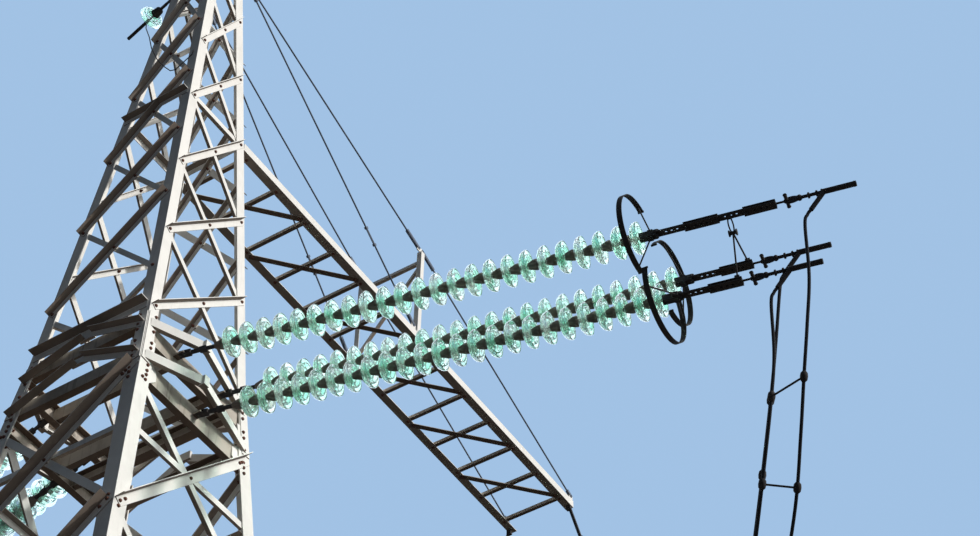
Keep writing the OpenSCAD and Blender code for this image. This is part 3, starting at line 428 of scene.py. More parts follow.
def weather_and_shade_group():
    """Weathering and painted shade on steel: a colour for the metal, dulled in patches,
    streaked down the faces, brown painted shade on undersides, with specks of rust; gives
    colour, roughness and height."""
    name = "Steel Weather and Shade"
    if name in bpy.data.node_groups:
        return bpy.data.node_groups[name]
    group, given, out = new_group(
        name,
        # The third colour is painted shade, which faces that point down take by the Underside
        # amount
        [("Metal", "NodeSocketColor", (0.8, 0.8, 0.8, 1)),
         ("Dull", "NodeSocketColor", (0.5, 0.5, 0.5, 1)),
         ("Underside Shade", "NodeSocketColor", (0.2, 0.15, 0.1, 1)),
         ("Patches", "NodeSocketFloat", 0.5), ("Streaks", "NodeSocketFloat", 0.3),
         ("Underside", "NodeSocketFloat", 0.5), ("Rust", "NodeSocketFloat", 0.1)],
        [("Color", "NodeSocketColor"), ("Roughness", "NodeSocketFloat"),
         ("Height", "NodeSocketFloat")])
    given, wiring = given.outputs, Wiring(group)
    place = wiring.place()
    spangle = wiring.node("ShaderNodeTexVoronoi", {"Vector": place, "Scale": 55.0})
    grain = wiring.step(spangle.outputs["Color"], 0.0, 1.0, -0.5, 0.5)
    broad = wiring.noise(place, 2.2, detail=5.0, rough=0.62)
    patch = wiring.calc("MULTIPLY", wiring.step(broad, 0.42, 0.66), given["Patches"])
    upright = wiring.node("ShaderNodeMapping", {"Vector": place, "Scale": (14.0, 14.0, 0.9)})
    run = wiring.noise(upright.outputs["Vector"], 1.6, rough=0.6)
    streak = wiring.calc("MULTIPLY", wiring.step(run, 0.52, 0.72), given["Streaks"])
    fine = wiring.noise(place, 38.0, detail=6.0, rough=0.7)
    speck = wiring.calc("MULTIPLY", wiring.step(fine, 0.66, 0.74), given["Rust"])
    # Painted shade: faces that point down are darkened to the underside colour, in place of the
    # shade and brown bounce light under them
    normal = wiring.node("ShaderNodeNewGeometry").outputs["Normal"]
    upward = wiring.node("ShaderNodeSeparateXYZ", {0: normal}).outputs["Z"]
    below = wiring.calc("MULTIPLY", wiring.step(upward, -0.05, -0.6), given["Underside"])
    color, rust = given["Metal"], (0.30, 0.12, 0.05)
    for mask, layer in ((patch, given["Dull"]), (streak, given["Dull"]),
                        (below, given["Underside Shade"]), (speck, rust)):
        color = wiring.mix(mask, color, layer)
    uneven = wiring.calc("ADD", wiring.calc("MULTIPLY", grain, 0.10),
                         wiring.calc("MULTIPLY", patch, 0.15))
    wiring.fill(out, {"Color": color, "Roughness": wiring.calc("ADD", uneven, 0.92)})
    height = wiring.calc("ADD", wiring.calc("MULTIPLY", grain, 0.25), fine)
    wiring.fill(out, {"Height": height})
    return group


def steel(name, metal, dull, underside_shade, patches, streaks, underside, rust, metallic=0.0,
          bump=0.0006):
    """Metal that takes its colour, roughness and relief from the group of weathering and painted
    underside shade.
    """
    if name in bpy.data.materials:
        return bpy.data.materials[name]
    material, wiring, shader = new_material(name)
    weather_and_shade = wiring.node("ShaderNodeGroup")
    weather_and_shade.node_tree = weather_and_shade_group()
    # The underside colour given here is painted shade, taken by faces that point down
    wiring.fill(weather_and_shade, {"Metal": metal, "Dull": dull, "Underside Shade": underside_shade, "Patches": patches,
                          "Streaks": streaks, "Underside": underside, "Rust": rust})
    wiring.fill(shader, {"Base Color": weather_and_shade.outputs["Color"],
                         "Roughness": weather_and_shade.outputs["Roughness"],
                         "Metallic": metallic, "Specular IOR Level": 0.3})
    wiring.relief(shader, weather_and_shade.outputs["Height"], 0.6, bump)
    return material


def zinc():
    """Pale galvanised steel, with brown painted shade under the flanges."""
    return steel("pylon_zinc", bpy.context.scene.pylon_finish.zinc,
                 dull=(0.66, 0.645, 0.61), underside_shade=(0.15, 0.105, 0.075),
                 patches=0.25, streaks=0.25, underside=0.9, rust=0.4)


def beam_steel():
    """Darker, browner steel of the beams inside the tower, dulled in patches and streaks, with
    brown painted shade on its undersides.
    """
    return steel("pylon_beam_steel", bpy.context.scene.pylon_finish.beam,
                 dull=(0.27, 0.225, 0.18), underside_shade=(0.09, 0.058, 0.040),
                 patches=0.5, streaks=0.6, underside=0.95, rust=0.6)


def fitting_iron():
    """Nearly black iron of the line fittings."""
    # The colour for faces that point down is painted shade
    return steel("pylon_fitting_iron", bpy.context.scene.pylon_finish.fitting,
                 dull=(0.028, 0.027, 0.03), underside_shade=(0.025, 0.02, 0.02),
                 patches=0.5, streaks=0.3, underside=0.4, rust=0.4)


def cap_iron():
    """Brown cast iron of the caps, with a coarser relief."""
    # The colour for faces that point down is painted shade
    return steel("pylon_cap_iron", bpy.context.scene.pylon_finish.cap,
                 dull=(0.12, 0.10, 0.09), underside_shade=(0.07, 0.058, 0.05),
                 patches=0.6, streaks=0.2, underside=0.3, rust=0.5, bump=0.0008)


def bolt_rust():
    """Rusty steel of bolts and nuts."""
    # The colour for faces that point down is painted shade
    return steel("pylon_bolt_rust", (0.20, 0.085, 0.06),
                 dull=(0.13, 0.07, 0.05), underside_shade=(0.07, 0.04, 0.03),
                 patches=0.8, streaks=0.2, underside=0.5, rust=0.9, metallic=0.2,
                 bump=0.0005)


def wire_metal(name, color, pitch):
    """Dull metal of stranded wire, whose relief is a wave in diagonal bands."""
    if name in bpy.data.materials:
        return bpy.data.materials[name]
    # The third colour, 0.4 of the wire's own, is painted shade on faces that point down
    material = steel(name, color, [0.6 * c for c in color], [0.4 * c for c in color],
                     patches=0.5, streaks=0.2, underside=0.4, rust=0.1, bump=0.0003)
    wiring = Wiring(material.node_tree)
    wave = wiring.node("ShaderNodeTexWave", {"Vector": wiring.place(), "Scale": pitch,
                                             "Distortion": 0.4})
    wave.bands_direction = "DIAGONAL"
    wiring.fill(wiring.nodes["Bump"], {"Height": wave.outputs["Fac"]})
    return material


def stay_wire():
    """Blue-grey wire of the stays."""
    return wire_metal("pylon_stay_cable", (0.16, 0.19, 0.25), 60.0)


def cable_wire():
    """Blackened wire of the jumper cables."""
    return wire_metal("pylon_conductor", (0.022, 0.022, 0.026), 45.0)


def disc_glass():
    """Toughened glass: clear, greener where a broad noise says, with faint waves under a
    thin film of grime. A lamp's light passes through it nearly whole, as it does through the
    real discs, so a string isn't dark in its own shadow."""
    name = "pylon_glass"
    if name in bpy.data.materials:
        return bpy.data.materials[name]
    look = bpy.context.scene.pylon_finish
    material, wiring, shader = new_material(name)
    place = wiring.place()
    deep = wiring.step(wiring.noise(place, 7.0, detail=3.0), 0.35, 0.65)
    tint = wiring.mix(deep, look.glass, look.glass_deep)
    film = wiring.noise(place, 24.0)
    wiring.fill(shader, {"Base Color": tint,
                         "Roughness": wiring.step(film, 0.45, 0.75, 0.04, 0.14),
                         "Transmission Weight": 0.88, "IOR": 1.5})
    wiring.relief(shader, film, 0.3, 0.002)
    clear = wiring.node("ShaderNodeBsdfTransparent", {"Color": (0.87, 0.90, 0.89)})
    shadow = wiring.node("ShaderNodeLightPath").outputs["Is Shadow Ray"]
    both = wiring.node("ShaderNodeMixShader",
                       {0: shadow, 1: shader.outputs[0], 2: clear.outputs[0]})
    wiring.fill(wiring.nodes["Material Output"], {"Surface": both.outputs[0]})
    return material


def finish_of(slot):
    """The material for a slot of the record."""
    makers = {"galvanised_steel": zinc, "weathered_steel": beam_steel,
              "green_glass": disc_glass, "iron_caps": cap_iron,
              "dark_fittings": fitting_iron, "stay_cable": stay_wire,
              "conductor": cable_wire}
    return makers[slot]()


# Settings


class PylonFinish(bpy.types.PropertyGroup):
    """Colours of the finishes"""
    zinc: bpy.props.FloatVectorProperty(
        name="Zinc", description="Colour of the galvanised steel", subtype="COLOR",
        size=3, min=0, max=1, default=(0.90, 0.885, 0.85))
    beam: bpy.props.FloatVectorProperty(
        name="Beams", description="Colour of the dirty beams inside the tower",
        subtype="COLOR", size=3, min=0, max=1, default=(0.56, 0.51, 0.45))
    fitting: bpy.props.FloatVectorProperty(
        name="Fittings", description="Colour of the line fittings", subtype="COLOR",
        size=3, min=0, max=1, default=(0.060, 0.054, 0.052))
    cap: bpy.props.FloatVectorProperty(
        name="Caps", description="Colour of the iron caps", subtype="COLOR",
        size=3, min=0, max=1, default=(0.18, 0.15, 0.13))
    glass: bpy.props.FloatVectorProperty(
        name="Glass", description="Colour of the glass discs", subtype="COLOR",
        size=3, min=0, max=1, default=(0.95, 1.0, 0.97))
    glass_deep: bpy.props.FloatVectorProperty(
        name="Deep Glass", description="Colour where the glass is thick",
        subtype="COLOR", size=3, min=0, max=1, default=(0.62, 0.96, 0.82))


class PylonParts(bpy.types.PropertyGroup):
    """Sizes of the small parts"""
    disc_r: bpy.props.FloatProperty(
        name="Disc Radius", description="Radius of a glass disc", unit="LENGTH",
        min=0.12, max=0.16, default=0.15)
    disc_sides: bpy.props.IntProperty(
        name="Disc Sides", description="Sides of a glass disc", min=24, max=64, default=40)
    bolt_af: bpy.props.FloatProperty(
        name="Bolt Head", description="Width across the flats of a bolt head",
        unit="LENGTH", min=0.02, max=0.05, default=0.027)


class PylonStage(bpy.types.PropertyGroup):
    """The stage's light and colours"""
    pale: bpy.props.FloatVectorProperty(
        name="Backdrop", description="Colour that the camera sees behind the pylon",
        subtype="COLOR", size=3, min=0, max=1, default=(0.36, 0.54, 0.78))
    key: bpy.props.FloatProperty(
        name="Key Light", description="Strength of the key light", min=0, max=10, default=3.5)
    fill: bpy.props.FloatProperty(
        name="Fill Light", description="Strength of the light from all around",
        min=0, max=2, default=0.045)


# Operators


class PYLON_OT_stage(bpy.types.Operator):
    """Sets the camera, the lamps, the backdrop and the floor"""
    bl_idname = "pylon.stage"
    bl_label = "Set the Stage"

    def execute(self, context):
        scene, look = context.scene, context.scene.pylon_stage
        scene.view_settings.view_transform = "Standard"
        self.camera(scene)
        self.lamps(scene, look)
        self.backdrop(scene, look)
        self.floor(scene)
        return {"FINISHED"}

    def put(self, scene, name, data, place):
        """Adds an object of the given data at a 4 by 4 placement."""
        thing = bpy.data.objects.new(name, data)
        thing.matrix_world = Matrix(place.tolist())
        scene.collection.objects.link(thing)
        return thing

    def camera(self, scene):
        """Camera below and in front of the pylon, looking up at its waist and mast."""
        eye, up = (-10.79, -11.22, 1.92), (-0.62728, -0.39548, 0.67091)
        ahead = unit([0.55779, 0.37304, 0.74142])
        data = bpy.data.cameras.new("camera")
        data.sensor_width = 36.0
        data.lens = 82.47
        data.clip_end = 500.0
        scene.camera = self.put(scene, "camera", data,
                                basis(eye, -ahead, np.cross(ahead, up)))

    def lamps(self, scene, look):
        """Key light from the front with a soft glow round it, and a broad light from the
        right behind: which way it goes, its share of the key's strength, its spread in
        degrees and its tint."""
        to_rear, to_front = (-0.24, 0.87, -0.43), (-0.45, -0.45, -0.77)
        for name, toward, share, spread, tint in (
                ("key", to_rear, 0.62, 2.0, (1.0, 0.97, 0.92)),
                ("glow", to_rear, 0.38, 40.0, (1.0, 0.985, 0.96)),
                ("back", to_front, 0.50, 80.0, (0.97, 0.99, 1.0))):
            data = bpy.data.lights.new(name, "SUN")
            data.energy = look.key * share
            data.angle = math.radians(spread)
            data.color = tint
            self.put(scene, name, data, basis((0, 0, 30), -np.array(toward), (1, 0, 0)))

    def backdrop(self, scene, look):
        """World that the camera sees pale, and that lights the object more weakly."""
        world = bpy.data.worlds.new("backdrop")
        scene.world = world
        world.use_nodes = True
        wiring = Wiring(world.node_tree)
        wiring.nodes.clear()
        seen = wiring.node("ShaderNodeBackground", {"Color": look.pale})
        light = wiring.node("ShaderNodeBackground", {"Color": (0.30, 0.62, 1.0),
                                                     "Strength": look.fill})
        path = wiring.node("ShaderNodeLightPath").outputs
        direct = wiring.calc("MAXIMUM", path["Is Camera Ray"], path["Is Glossy Ray"])
        direct = wiring.calc("MAXIMUM", direct, path["Is Transmission Ray"])
        mixed = wiring.node("ShaderNodeMixShader",
                            {0: direct, 1: light.outputs[0], 2: seen.outputs[0]})
        wiring.node("ShaderNodeOutputWorld", {"Surface": mixed.outputs[0]})

    def floor(self, scene):
        """Plain pale floor, wide enough to run out of every view, just under the feet. Only
        the camera sees it pale, so that it throws little light on the undersides."""
        reach, z = 160.0, -0.002
        mesh = bpy.data.meshes.new("floor")
        mesh.from_pydata([(-reach, -reach, z), (reach, -reach, z), (reach, reach, z),
                          (-reach, reach, z)], [], [(0, 1, 2, 3)])
        floor = bpy.data.objects.new("floor", mesh)
        scene.collection.objects.link(floor)
        material, wiring, shader = new_material("floor")
        cloud = wiring.noise(wiring.place(), 0.4, detail=5.0)
        pale = wiring.mix(cloud, (0.62, 0.66, 0.70), (0.66, 0.70, 0.74))
        seen = wiring.node("ShaderNodeLightPath").outputs["Is Camera Ray"]
        wiring.fill(shader, {"Base Color": wiring.mix(seen, (0.06, 0.05, 0.042), pale),
                             "Roughness": 0.9})
        mesh.materials.append(material)


class PYLON_OT_finishes(bpy.types.Operator):
    """Gives every solid of the frame the finish of its slot"""
    bl_idname = "pylon.finishes"
    bl_label = "Finish the Steelwork"

    def execute(self, context):
        slots = {s["node"]: s["material_slot"] for s in frame["record"]["subparts"]}
        for name, piece in frame["nodes"].items():
            if name not in slots:
                raise RuntimeError(f"{name} has no slot")
            piece.data.materials.clear()
            piece.data.materials.append(finish_of(slots[name]))
        return {"FINISHED"}


class PYLON_OT_glass(bpy.types.Operator):
    """Makes the glass discs of all strings"""
    bl_idname = "pylon.glass"
    bl_label = "Glass Discs"

    def disc(self, context):
        """Closed profile of a disc, turned about its pin: a smooth domed back, a rolled
        rim, and two ribs under it that stand as rings between rounded troughs. It is drawn
        at a radius of 0.15 and drawn in or out to the radius that is set."""
        size = context.scene.pylon_parts
        back = [(0.052, 0.000), (0.075, 0.004), (0.105, 0.014), (0.126, 0.027),
                (0.140, 0.044), (0.147, 0.062)]
        rim = [(0.1498, 0.070), (0.1498, 0.078), (0.147, 0.085), (0.142, 0.083)]
        outer_rib = [(0.137, 0.068), (0.130, 0.052), (0.120, 0.043), (0.1135, 0.046),
                     (0.1105, 0.070), (0.1085, 0.090), (0.104, 0.0955), (0.099, 0.091),
                     (0.0965, 0.060), (0.092, 0.038)]
        inner_rib = [(0.082, 0.033), (0.0785, 0.052), (0.0765, 0.064), (0.073, 0.0675),
                     (0.069, 0.063), (0.0665, 0.045), (0.062, 0.031)]
        socket = [(0.040, 0.028), (0.024, 0.026), (0.024, 0.000)]
        profile = np.array(back + rim + outer_rib + inner_rib + socket)
        profile[:, 0] *= size.disc_r / 0.15
        return turned(profile, size.disc_sides, closed=True)

    def execute(self, context):
        disc = self.disc(context)
        along = FIRST_DISC + DISC_PITCH * np.arange(DISCS)
        for side, back in (("front", False), ("rear", True)):
            for name, start in STRINGS.items():
                discs = disc.copies(string_place(start, along, back))
                add_piece(f"glass_discs_{side}_{name}", discs, "green_glass",
                          [f"{side}_glass_{name}"])
        down = hang_point(HANG_LINK + HANG_CAP + DISC_PITCH * np.arange(DISCS))
        hang = basis(down, hang_point(1.0) - hang_point(0.0), (1, 0, 0))
        add_piece("glass_discs_jumper", disc.copies(hang).both(), "green_glass",
                  ["jumper_string_glass"])
        return {"FINISHED"}


class PYLON_OT_caps(bpy.types.Operator):
    """Makes the iron caps and pins between the glass discs"""
    bl_idname = "pylon.caps"
    bl_label = "Iron Caps"

    def cap(self):
        """Turned cap: a narrow socket head that swells to its widest near the glass and
        draws in to a bead on it, and below it the pin that ends in the next socket."""
        profile = [(0.018, -0.1100), (0.025, -0.1085), (0.0290, -0.103), (0.0325, -0.093),
                   (0.0365, -0.081), (0.0410, -0.068), (0.0455, -0.054), (0.0495, -0.040),
                   (0.0518, -0.028), (0.0515, -0.018), (0.0490, -0.011), (0.0500, -0.007),
                   (0.0500, -0.0005), (0.0240, 0.0005)]
        pin = [(0.0240, 0.020), (0.0220, 0.030), (0.0135, 0.038), (0.0120, 0.046),
               (0.0120, 0.069)]
        return Shape.joined([turned(profile, 20), turned(pin, 12)])

    def execute(self, context):
        cap = self.cap()
        along = FIRST_DISC + DISC_PITCH * np.arange(DISCS)
        front = Shape.joined([cap.copies(string_place(start, along))
                              for start in STRINGS.values()])
        add_piece("caps_front", front, "iron_caps", ["front_caps"])
        add_piece("caps_rear", front.flipped(), "iron_caps", ["rear_caps"])
        return {"FINISHED"}


class PYLON_OT_jumpers(bpy.types.Operator):
    """Makes the jumper cables as smooth stranded curves"""
    bl_idname = "pylon.jumpers"
    bl_label = "Jumper Cables"

    def route(self, name):
        """Points of a cable from its front lug to its rear one. With f the fraction of the
        way from the lug a to the seat d, the plan is the cubic a (1 - f)^3 + 3 b f (1 - f)^2
        + 3 c f^2 (1 - f) + d f^3, the height is the straight line from a to d less the sag,
        and a drift to one side is added. A short lead straight out of the lug takes the
        place of the first points, and the rear half mirrors the front one."""
        line, cross = string_axes()
        lug = -math.cos(LUG_TILT) * np.cross(line, cross) - math.sin(LUG_TILT) * line
        reach = STRING_END + LINKS[name] + SHACKLE + LUG_AT
        a = np.array(STRINGS[name]) + reach * line + (LUG_L + SEAT_GAP) * lug
        d = hang_point(HANG_BAR) + SEATS[name]
        inward = np.array([0, 1.2, 0])
        b, c = a + 0.4 * (d - a) + inward, d - inward
        f, sag = np.array(SAG).T
        f = f[:, None]
        plan = (a * (1 - f)**3 + 3 * b * f * (1 - f)**2 + 3 * c * f * f * (1 - f) + d * f**3)
        plan[:, 2] = a[2] + (d[2] - a[2]) * f[:, 0] - sag
        plan += self.drift(name, f)
        lead = a + lug * np.array([[-0.06], [0.0], [0.06], [0.12]])
        lead[3] = 0.82 * lead[3] + 0.18 * plan[3]
        front = np.concatenate([lead, plan[4:]])
        return np.concatenate([front, front[::-1] * TO_REAR])

    def drift(self, name, f):
        """Drift to one side: it grows from the lug by the smooth step t^2 (3 - 2 t) and dies
        out by another between the fractions 0.3 and 0.7."""
        size, run = DRIFTS[name]
        near, far = np.clip(f / run, 0, 1), np.clip((f - 0.3) / 0.4, 0, 1)
        share = near**2 * (3 - 2 * near) * (1 - far**2 * (3 - 2 * far))
        return size * share * (0.5435, -0.8393, 0.0)

    def execute(self, context):
        paths = {name: smooth_path(self.route(name), 8) for name in STRINGS}
        cables = [tube(path, CABLE_R, 12) for path in paths.values()]
        add_piece("jumper_strands", Shape.joined(cables), "conductor", ["jumper_cables"])
        add_piece("cable_spacers", self.spacers(paths).both(), "dark_fittings",
                  ["jumper_spacers"])
        return {"FINISHED"}

    def spacers(self, paths):
        """Rods between the front cables, and a turned clamp on each cable at the point of
        its falling part that is nearest to the height given."""
        grip = turned([(0.017, -0.045), (0.030, -0.030), (0.034, 0.0), (0.030, 0.030),
                       (0.017, 0.045)], 14)
        parts = []
        for heights in SPACER_HEIGHTS:
            spots = {}
            for (name, path), height in zip(paths.items(), heights):
                falling = path[:np.argmin(path[:len(path) // 2, 2]), 2]
                i = np.argmin(np.abs(falling - height))
                spots[name] = path[i]
                along = unit(path[i + 1] - path[i - 1])
                parts.append(grip.copies(basis(path[i], along, (0.3, 0.2, 1.0))))
            for one, two in (("left", "low"), ("low", "right")):
                parts.append(tube(np.linspace(spots[one], spots[two], 3), ROD_R, 10))
        return Shape.joined(parts)


class PYLON_OT_fittings(bpy.types.Operator):
    """Puts bolts, rings, pins and links on the line fittings"""
    bl_idname = "pylon.fittings"
    bl_label = "Line Fittings"

    def string_parts(self, name):
        """Small parts of one front string in its own frame, z along the string: bolt heads on
        both edges of the link plates, the oval ring of the shackle with its bolt heads, the
        turned eye behind it, and the collars and nuts of the clamp."""
        head = turned([(0.019, 0.0), (0.019, 0.012), (0.015, 0.015)], 6)
        bays = 4 if name == "left" else 2
        bay = (LINKS[name] - LINK_START) / bays
        parts = []
        for i in range(bays):
            z, lift = STRING_END + LINK_START + i * bay, 0.035 if i == 0 else 0.032
            for way in (1, -1):
                parts.append(head.copies(basis((0, way * lift, z), (0, way, 0), (1, 0, 0))))
        end = STRING_END + LINKS[name]
        parts.append(oval_ring(0.031, 0.062, end + 0.135, 0.0105, 24))
        for way in (1, -1):
            parts.append(head.copies(basis((way * 0.062, 0, end + 0.095), (way, 0, 0),
                                           (0, 0, 1))))
        parts.append(turned([(0.012, end + 0.186), (0.024, end + 0.19), (0.0285, end + 0.2),
                             (0.0285, end + 0.209), (0.024, end + 0.219),
                             (0.014, end + 0.228)], 16))
        clamp = end + SHACKLE
        for at, r in ((0.182, 0.029), (0.462, 0.027)):
            z, low_r = clamp + at, r - 0.004
            parts.append(turned([(low_r, z - 0.008), (r, z - 0.005), (r, z + 0.005),
                                 (low_r, z + 0.008)], 16))
        for at in (0.055, 0.125):
            nut = turned([(0.017, at), (0.029, at + 0.004), (0.029, at + 0.018),
                          (0.017, at + 0.022)], 6)
            parts.append(nut.copies(basis((0, 0, clamp), (0, 0, 1), (1, 0, 0))))
        return Shape.joined(parts)

    def spot(self, name, t, rise):
        """Placement at distance t along a front string, moved by rise across it."""
        place = string_place(STRINGS[name], t)[0]
        place[:3, 3] += rise * place[:3, 1]
        return place

    def spreader(self):
        """The link that ties the three front strings together: a lug under the chain of the
        left string, an oval link, a spool, and a rod to each of the other two chains."""
        top = self.spot("left", STRING_END + 0.81, -0.0172)
        ends = [self.spot(name, STRING_END + 0.675, 0.0457) for name in ("right", "low")]
        peak, across = top[:3, 3], top[:3, 0]
        yoke = peak + 0.3 * ((ends[0][:3, 3] + ends[1][:3, 3]) / 2 - peak)
        drop = unit(yoke - peak)
        link = oval_ring(0.021, np.linalg.norm(yoke - peak) / 2, 0.0, 0.0065, 32)
        spool = turned([(0.018, -0.040), (0.030, -0.038), (0.030, -0.028), (0.017, -0.022),
                        (0.017, 0.022), (0.030, 0.028), (0.030, 0.038), (0.018, 0.040)], 18)
        ball = turned([(0.006, -0.022), (0.017, -0.014), (0.021, 0.0), (0.017, 0.014),
                       (0.006, 0.022)], 14)
        parts = [block((0.044, 0.018, 0.044)).copies(top),
                 link.copies(basis((peak + yoke) / 2, drop, across)),
                 spool.copies(basis(yoke, top[:3, 2], drop))]
        for end in ends:
            foot = end[:3, 3]
            parts += [block((0.044, 0.04, 0.044)).copies(end),
                      ball.copies(basis(foot, foot - yoke, across)),
                      tube(np.linspace(yoke, foot, 3), 0.008, 10)]
        return Shape.joined(parts)

    def execute(self, context):
        strings = [self.string_parts(name).copies(string_place(start, 0.0))
                   for name, start in STRINGS.items()]
        add_piece("string_fittings", Shape.joined(strings).both(), "dark_fittings")
        add_piece("spreader_links", self.spreader().both(), "dark_fittings")
        return {"FINISHED"}


# Places of the bolts


def face_point(side, z, inset=GAUGE):
    """Point on the front face, inset from the left (-1) or right (+1) heel line."""
    w = half_width(z)
    return np.stack(np.broadcast_arrays(side * (w - inset), -w, z), -1)


def quarter_turns():
    """The four turns that carry the front face to the right, rear and left faces."""
    turns = np.zeros((4, 4, 4))
    for k in range(4):
        c, s = round(math.cos(k * math.pi / 2)), round(math.sin(k * math.pi / 2))
        turns[k] = [[c, -s, 0, 0], [s, c, 0, 0], [0, 0, 1, 0], [0, 0, 0, 1]]
    return turns


def crossing(p, q, u, v):
    """Where the lines p-q and u-v of a face cross, from their heights along the face."""
    slope_a = (q[..., 2] - p[..., 2]) / (q[..., 0] - p[..., 0])
    slope_b = (v[..., 2] - u[..., 2]) / (v[..., 0] - u[..., 0])
    x = (u[..., 2] - p[..., 2] + slope_a * p[..., 0] - slope_b * u[..., 0]) / (slope_a - slope_b)
    z = p[..., 2] + slope_a * (x - p[..., 0])
    return np.stack([x, -half_width(z), z], -1)


def face_bolts(turn, spots, normal, out, behind):
    """Placements of the heads, at depth out in front of a face, and of the nuts, at depth
    behind it, of bolts through spots of the front face, carried to their face by turn."""
    heads = turn @ basis(spots + out * normal, normal, UP)
    nuts = turn @ basis(spots - behind * normal, -normal, UP)
    return heads.reshape(-1, 4, 4), nuts.reshape(-1, 4, 4)


def mast_bolts():
    """Bolts of the mast: at both ends of each rising brace, at the crossings, and at the
    first and last ends of the falling braces, which share the other bolts."""
    bolts, turns = [], quarter_turns()
    normal, t = unit([0, -1, UP_LEAN]), UP_BRACE_T
    for k, levels in ((0, MAST_LEVELS), (2, MAST_LEVELS), (1, SIDE_LEVELS), (3, SIDE_LEVELS)):
        low, high = levels[:-1], levels[1:]
        p, q = face_point(-1, low), face_point(1, high)
        u, v = face_point(-1, high), face_point(1, low)
        for spots, out in ((p, t), (q, t), (u[-1], 0.0), (v[0], 0.0),
                           (crossing(p, q, u, v), t)):
            bolts.append(face_bolts(turns[k], spots, normal, out, UP_LEG_T + t))
    return bolts


def body_bolts():
    """Bolts of the lower body: two at each end of a rising brace, further in where it ends
    on a gusset plate, one at each end of a falling one, the crossings, and the rows
    through the cover and gusset plates."""
    bolts = []
    normal, t = unit([0, -1, LOW_LEAN]), LOW_BRACE_T
    levels = BODY_LEVELS[::-1]
    low, high = levels[:-1], levels[1:]
    on_gusset = np.isclose(high, BODY_LEVELS[0])
    p, q = face_point(-1, low), face_point(1, high)
    u = face_point(-1, np.where(on_gusset, INNER_START, high - STAGGER))
    v = face_point(1, low + STAGGER)
    run = unit(q - p)
    for turn in quarter_turns():
        for near, far in ((0.0, 0.10), (0.09, 0.145)):
            inset = np.where(on_gusset, far, near)[:, None]
            bolts.append(face_bolts(turn, p + near * run, normal, t, LOW_LEG_T))
            bolts.append(face_bolts(turn, q - inset * run, normal, t, LOW_LEG_T))
        for spots, out in ((u, 0.0), (v, 0.0), (crossing(p, q, u, v), t)):
            bolts.append(face_bolts(turn, spots, normal, out, LOW_LEG_T + t))
        for side in (-1, 1):
            covers = face_point(side, COVER_ROWS, COVER_GAUGE)
            gussets = face_point(side, GUSSET_ROWS, GUSSET_GAUGE)
            bolts.append(face_bolts(turn, covers, normal, COVER_T, UP_LEG_T))
            bolts.append(face_bolts(turn, gussets, normal, 0.0, LOW_LEG_T + GUSSET_T))
    return bolts


def arm_heads():
    """Placements of the bolt heads under the arm's chords, at the ends and the middle of the
    diagonals that lead over two bays, and at the feet of the posts."""
    y, end_in, bolt_in, below = ARM_HALF - CHORD_A / 2, 0.06, 0.04, 0.006
    under = []
    for x in ARM_START + ARM_BAY * np.arange(ARM_BAYS + 1):
        under += [(x, y - 0.012, CHORD_LOW), (x, 0.012 - y, CHORD_LOW)]
    for x in ARM_START + ARM_BAY * np.arange(0, ARM_BAYS, 2):
        start = np.array([x + end_in, y, CHORD_LOW - below])
        run = np.array([2 * (ARM_BAY - end_in), -2 * y, 0.0])
        inset = bolt_in * unit(run)
        under += [start + inset, start + run - inset, start + run / 2]
    heads = [basis(np.array(under), (0, 0, -1), (1, 0, 0))]
    for side in (-1, 1):
        spots = [(POST_X + dx, side * ARM_HALF, ARM_Z + dz)
                 for dx, dz in ((-0.005, -0.02), (0.03, -0.02), (0.012, 0.03))]
        heads.append(basis(spots, (0, side, 0), (0, 0, 1)))
    return heads


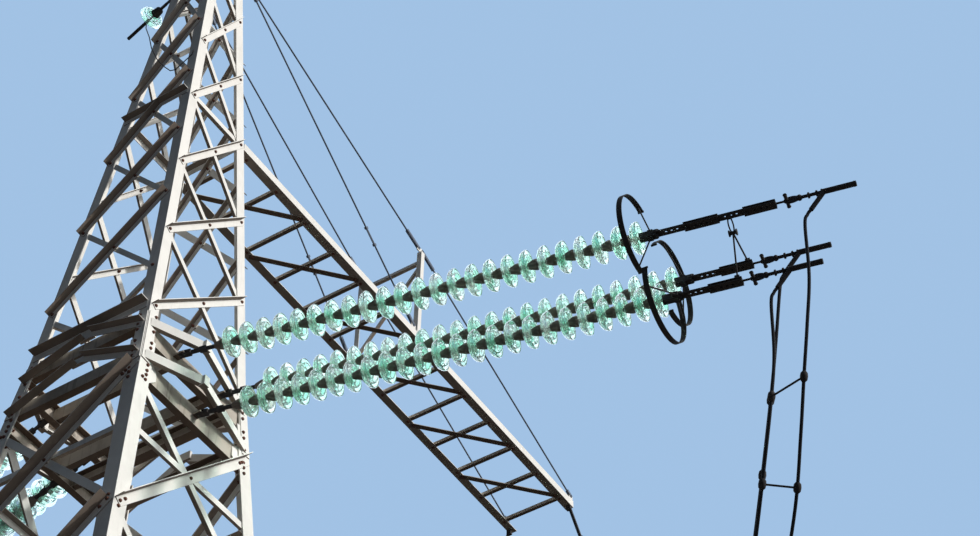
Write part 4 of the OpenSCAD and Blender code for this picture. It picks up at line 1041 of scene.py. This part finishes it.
class PYLON_OT_bolts(bpy.types.Operator):
    """Puts the bolts through the joints of the bracing, and its gusset plates"""
    bl_idname = "pylon.bolts"
    bl_label = "Bolts and Gussets"

    def bolt(self, r):
        """Six-sided head of corner radius r with a chamfered top on a round washer, whose
        underside is at z = 0."""
        washer = turned([(1.15 * r, 0.0), (1.15 * r, 0.0035)], 12)
        head = turned([(r, 0.0035), (r, 0.014), (0.82 * r, 0.0165)], 6)
        return Shape.joined([washer, head])

    def nut(self, r):
        """Nut of corner radius r and the end of the thread that stands out of it."""
        nut = turned([(r, 0.0), (r, 0.016), (0.85 * r, 0.018)], 6)
        thread = turned([(0.52 * r, 0.017), (0.52 * r, 0.030), (0.42 * r, 0.032)], 8)
        return Shape.joined([nut, thread])

    def gussets(self):
        """Six-sided plates behind the leg flanges at the first lower joint, front and rear."""
        outline = [(0.03, -0.16), (0.15, -0.16), (0.25, -0.06), (0.25, 0.06), (0.15, 0.16),
                   (0.03, 0.16)]
        normal = unit([0, -1, LOW_LEAN])
        places = [turn @ basis(face_point(side, BODY_LEVELS[0], 0.0) - LOW_LEG_T * normal,
                               -normal, (-side, 0, 0))
                  for turn in quarter_turns()[::2] for side in (-1, 1)]
        return prism(outline, GUSSET_T).copies(places)

    def execute(self, context):
        r = context.scene.pylon_parts.bolt_af / math.sqrt(3)
        heads, nuts = zip(*mast_bolts(), *body_bolts())
        heads = np.concatenate([*heads, *arm_heads()])
        add_piece("bolt_heads", self.bolt(r).copies(heads), "galvanised_steel",
                  material=bolt_rust())
        add_piece("bolt_nuts", self.nut(r).copies(np.concatenate(nuts)), "galvanised_steel",
                  material=bolt_rust())
        add_piece("gusset_plates", self.gussets(), "galvanised_steel")
        return {"FINISHED"}


class PYLON_PT_panel(bpy.types.Panel):
    """Lists the steps that dress the pylon"""
    bl_idname = "PYLON_PT_panel"
    bl_label = "Lattice Pylon"
    bl_space_type = "VIEW_3D"
    bl_region_type = "UI"
    bl_category = "Pylon"

    def draw(self, context):
        layout, scene = self.layout, context.scene
        for group in (getattr(scene, name) for name in SETTINGS):
            for key in group.__annotations__:
                layout.prop(group, key)
        for step in STEPS:
            layout.operator(step.bl_idname)


STEPS = (PYLON_OT_stage, PYLON_OT_finishes, PYLON_OT_glass, PYLON_OT_caps,
         PYLON_OT_jumpers, PYLON_OT_fittings, PYLON_OT_bolts)
SETTINGS = {"pylon_finish": PylonFinish, "pylon_parts": PylonParts,
            "pylon_stage": PylonStage}
CLASSES = (*SETTINGS.values(), *STEPS, PYLON_PT_panel)


def register():
    """Makes the settings, the steps and the panel known to Blender."""
    for cls in CLASSES:
        bpy.utils.register_class(cls)
    for name, cls in SETTINGS.items():
        setattr(bpy.types.Scene, name, bpy.props.PointerProperty(type=cls))


def unregister():
    """Takes them out again."""
    for name in SETTINGS:
        delattr(bpy.types.Scene, name)
    for cls in reversed(CLASSES):
        bpy.utils.unregister_class(cls)


def main():
    """Runs every step in order."""
    register()
    bpy.ops.pylon.stage()
    bpy.ops.pylon.finishes()
    bpy.ops.pylon.glass()
    bpy.ops.pylon.caps()
    bpy.ops.pylon.jumpers()
    bpy.ops.pylon.fittings()
    bpy.ops.pylon.bolts()


if __name__ == "__main__":
    main()
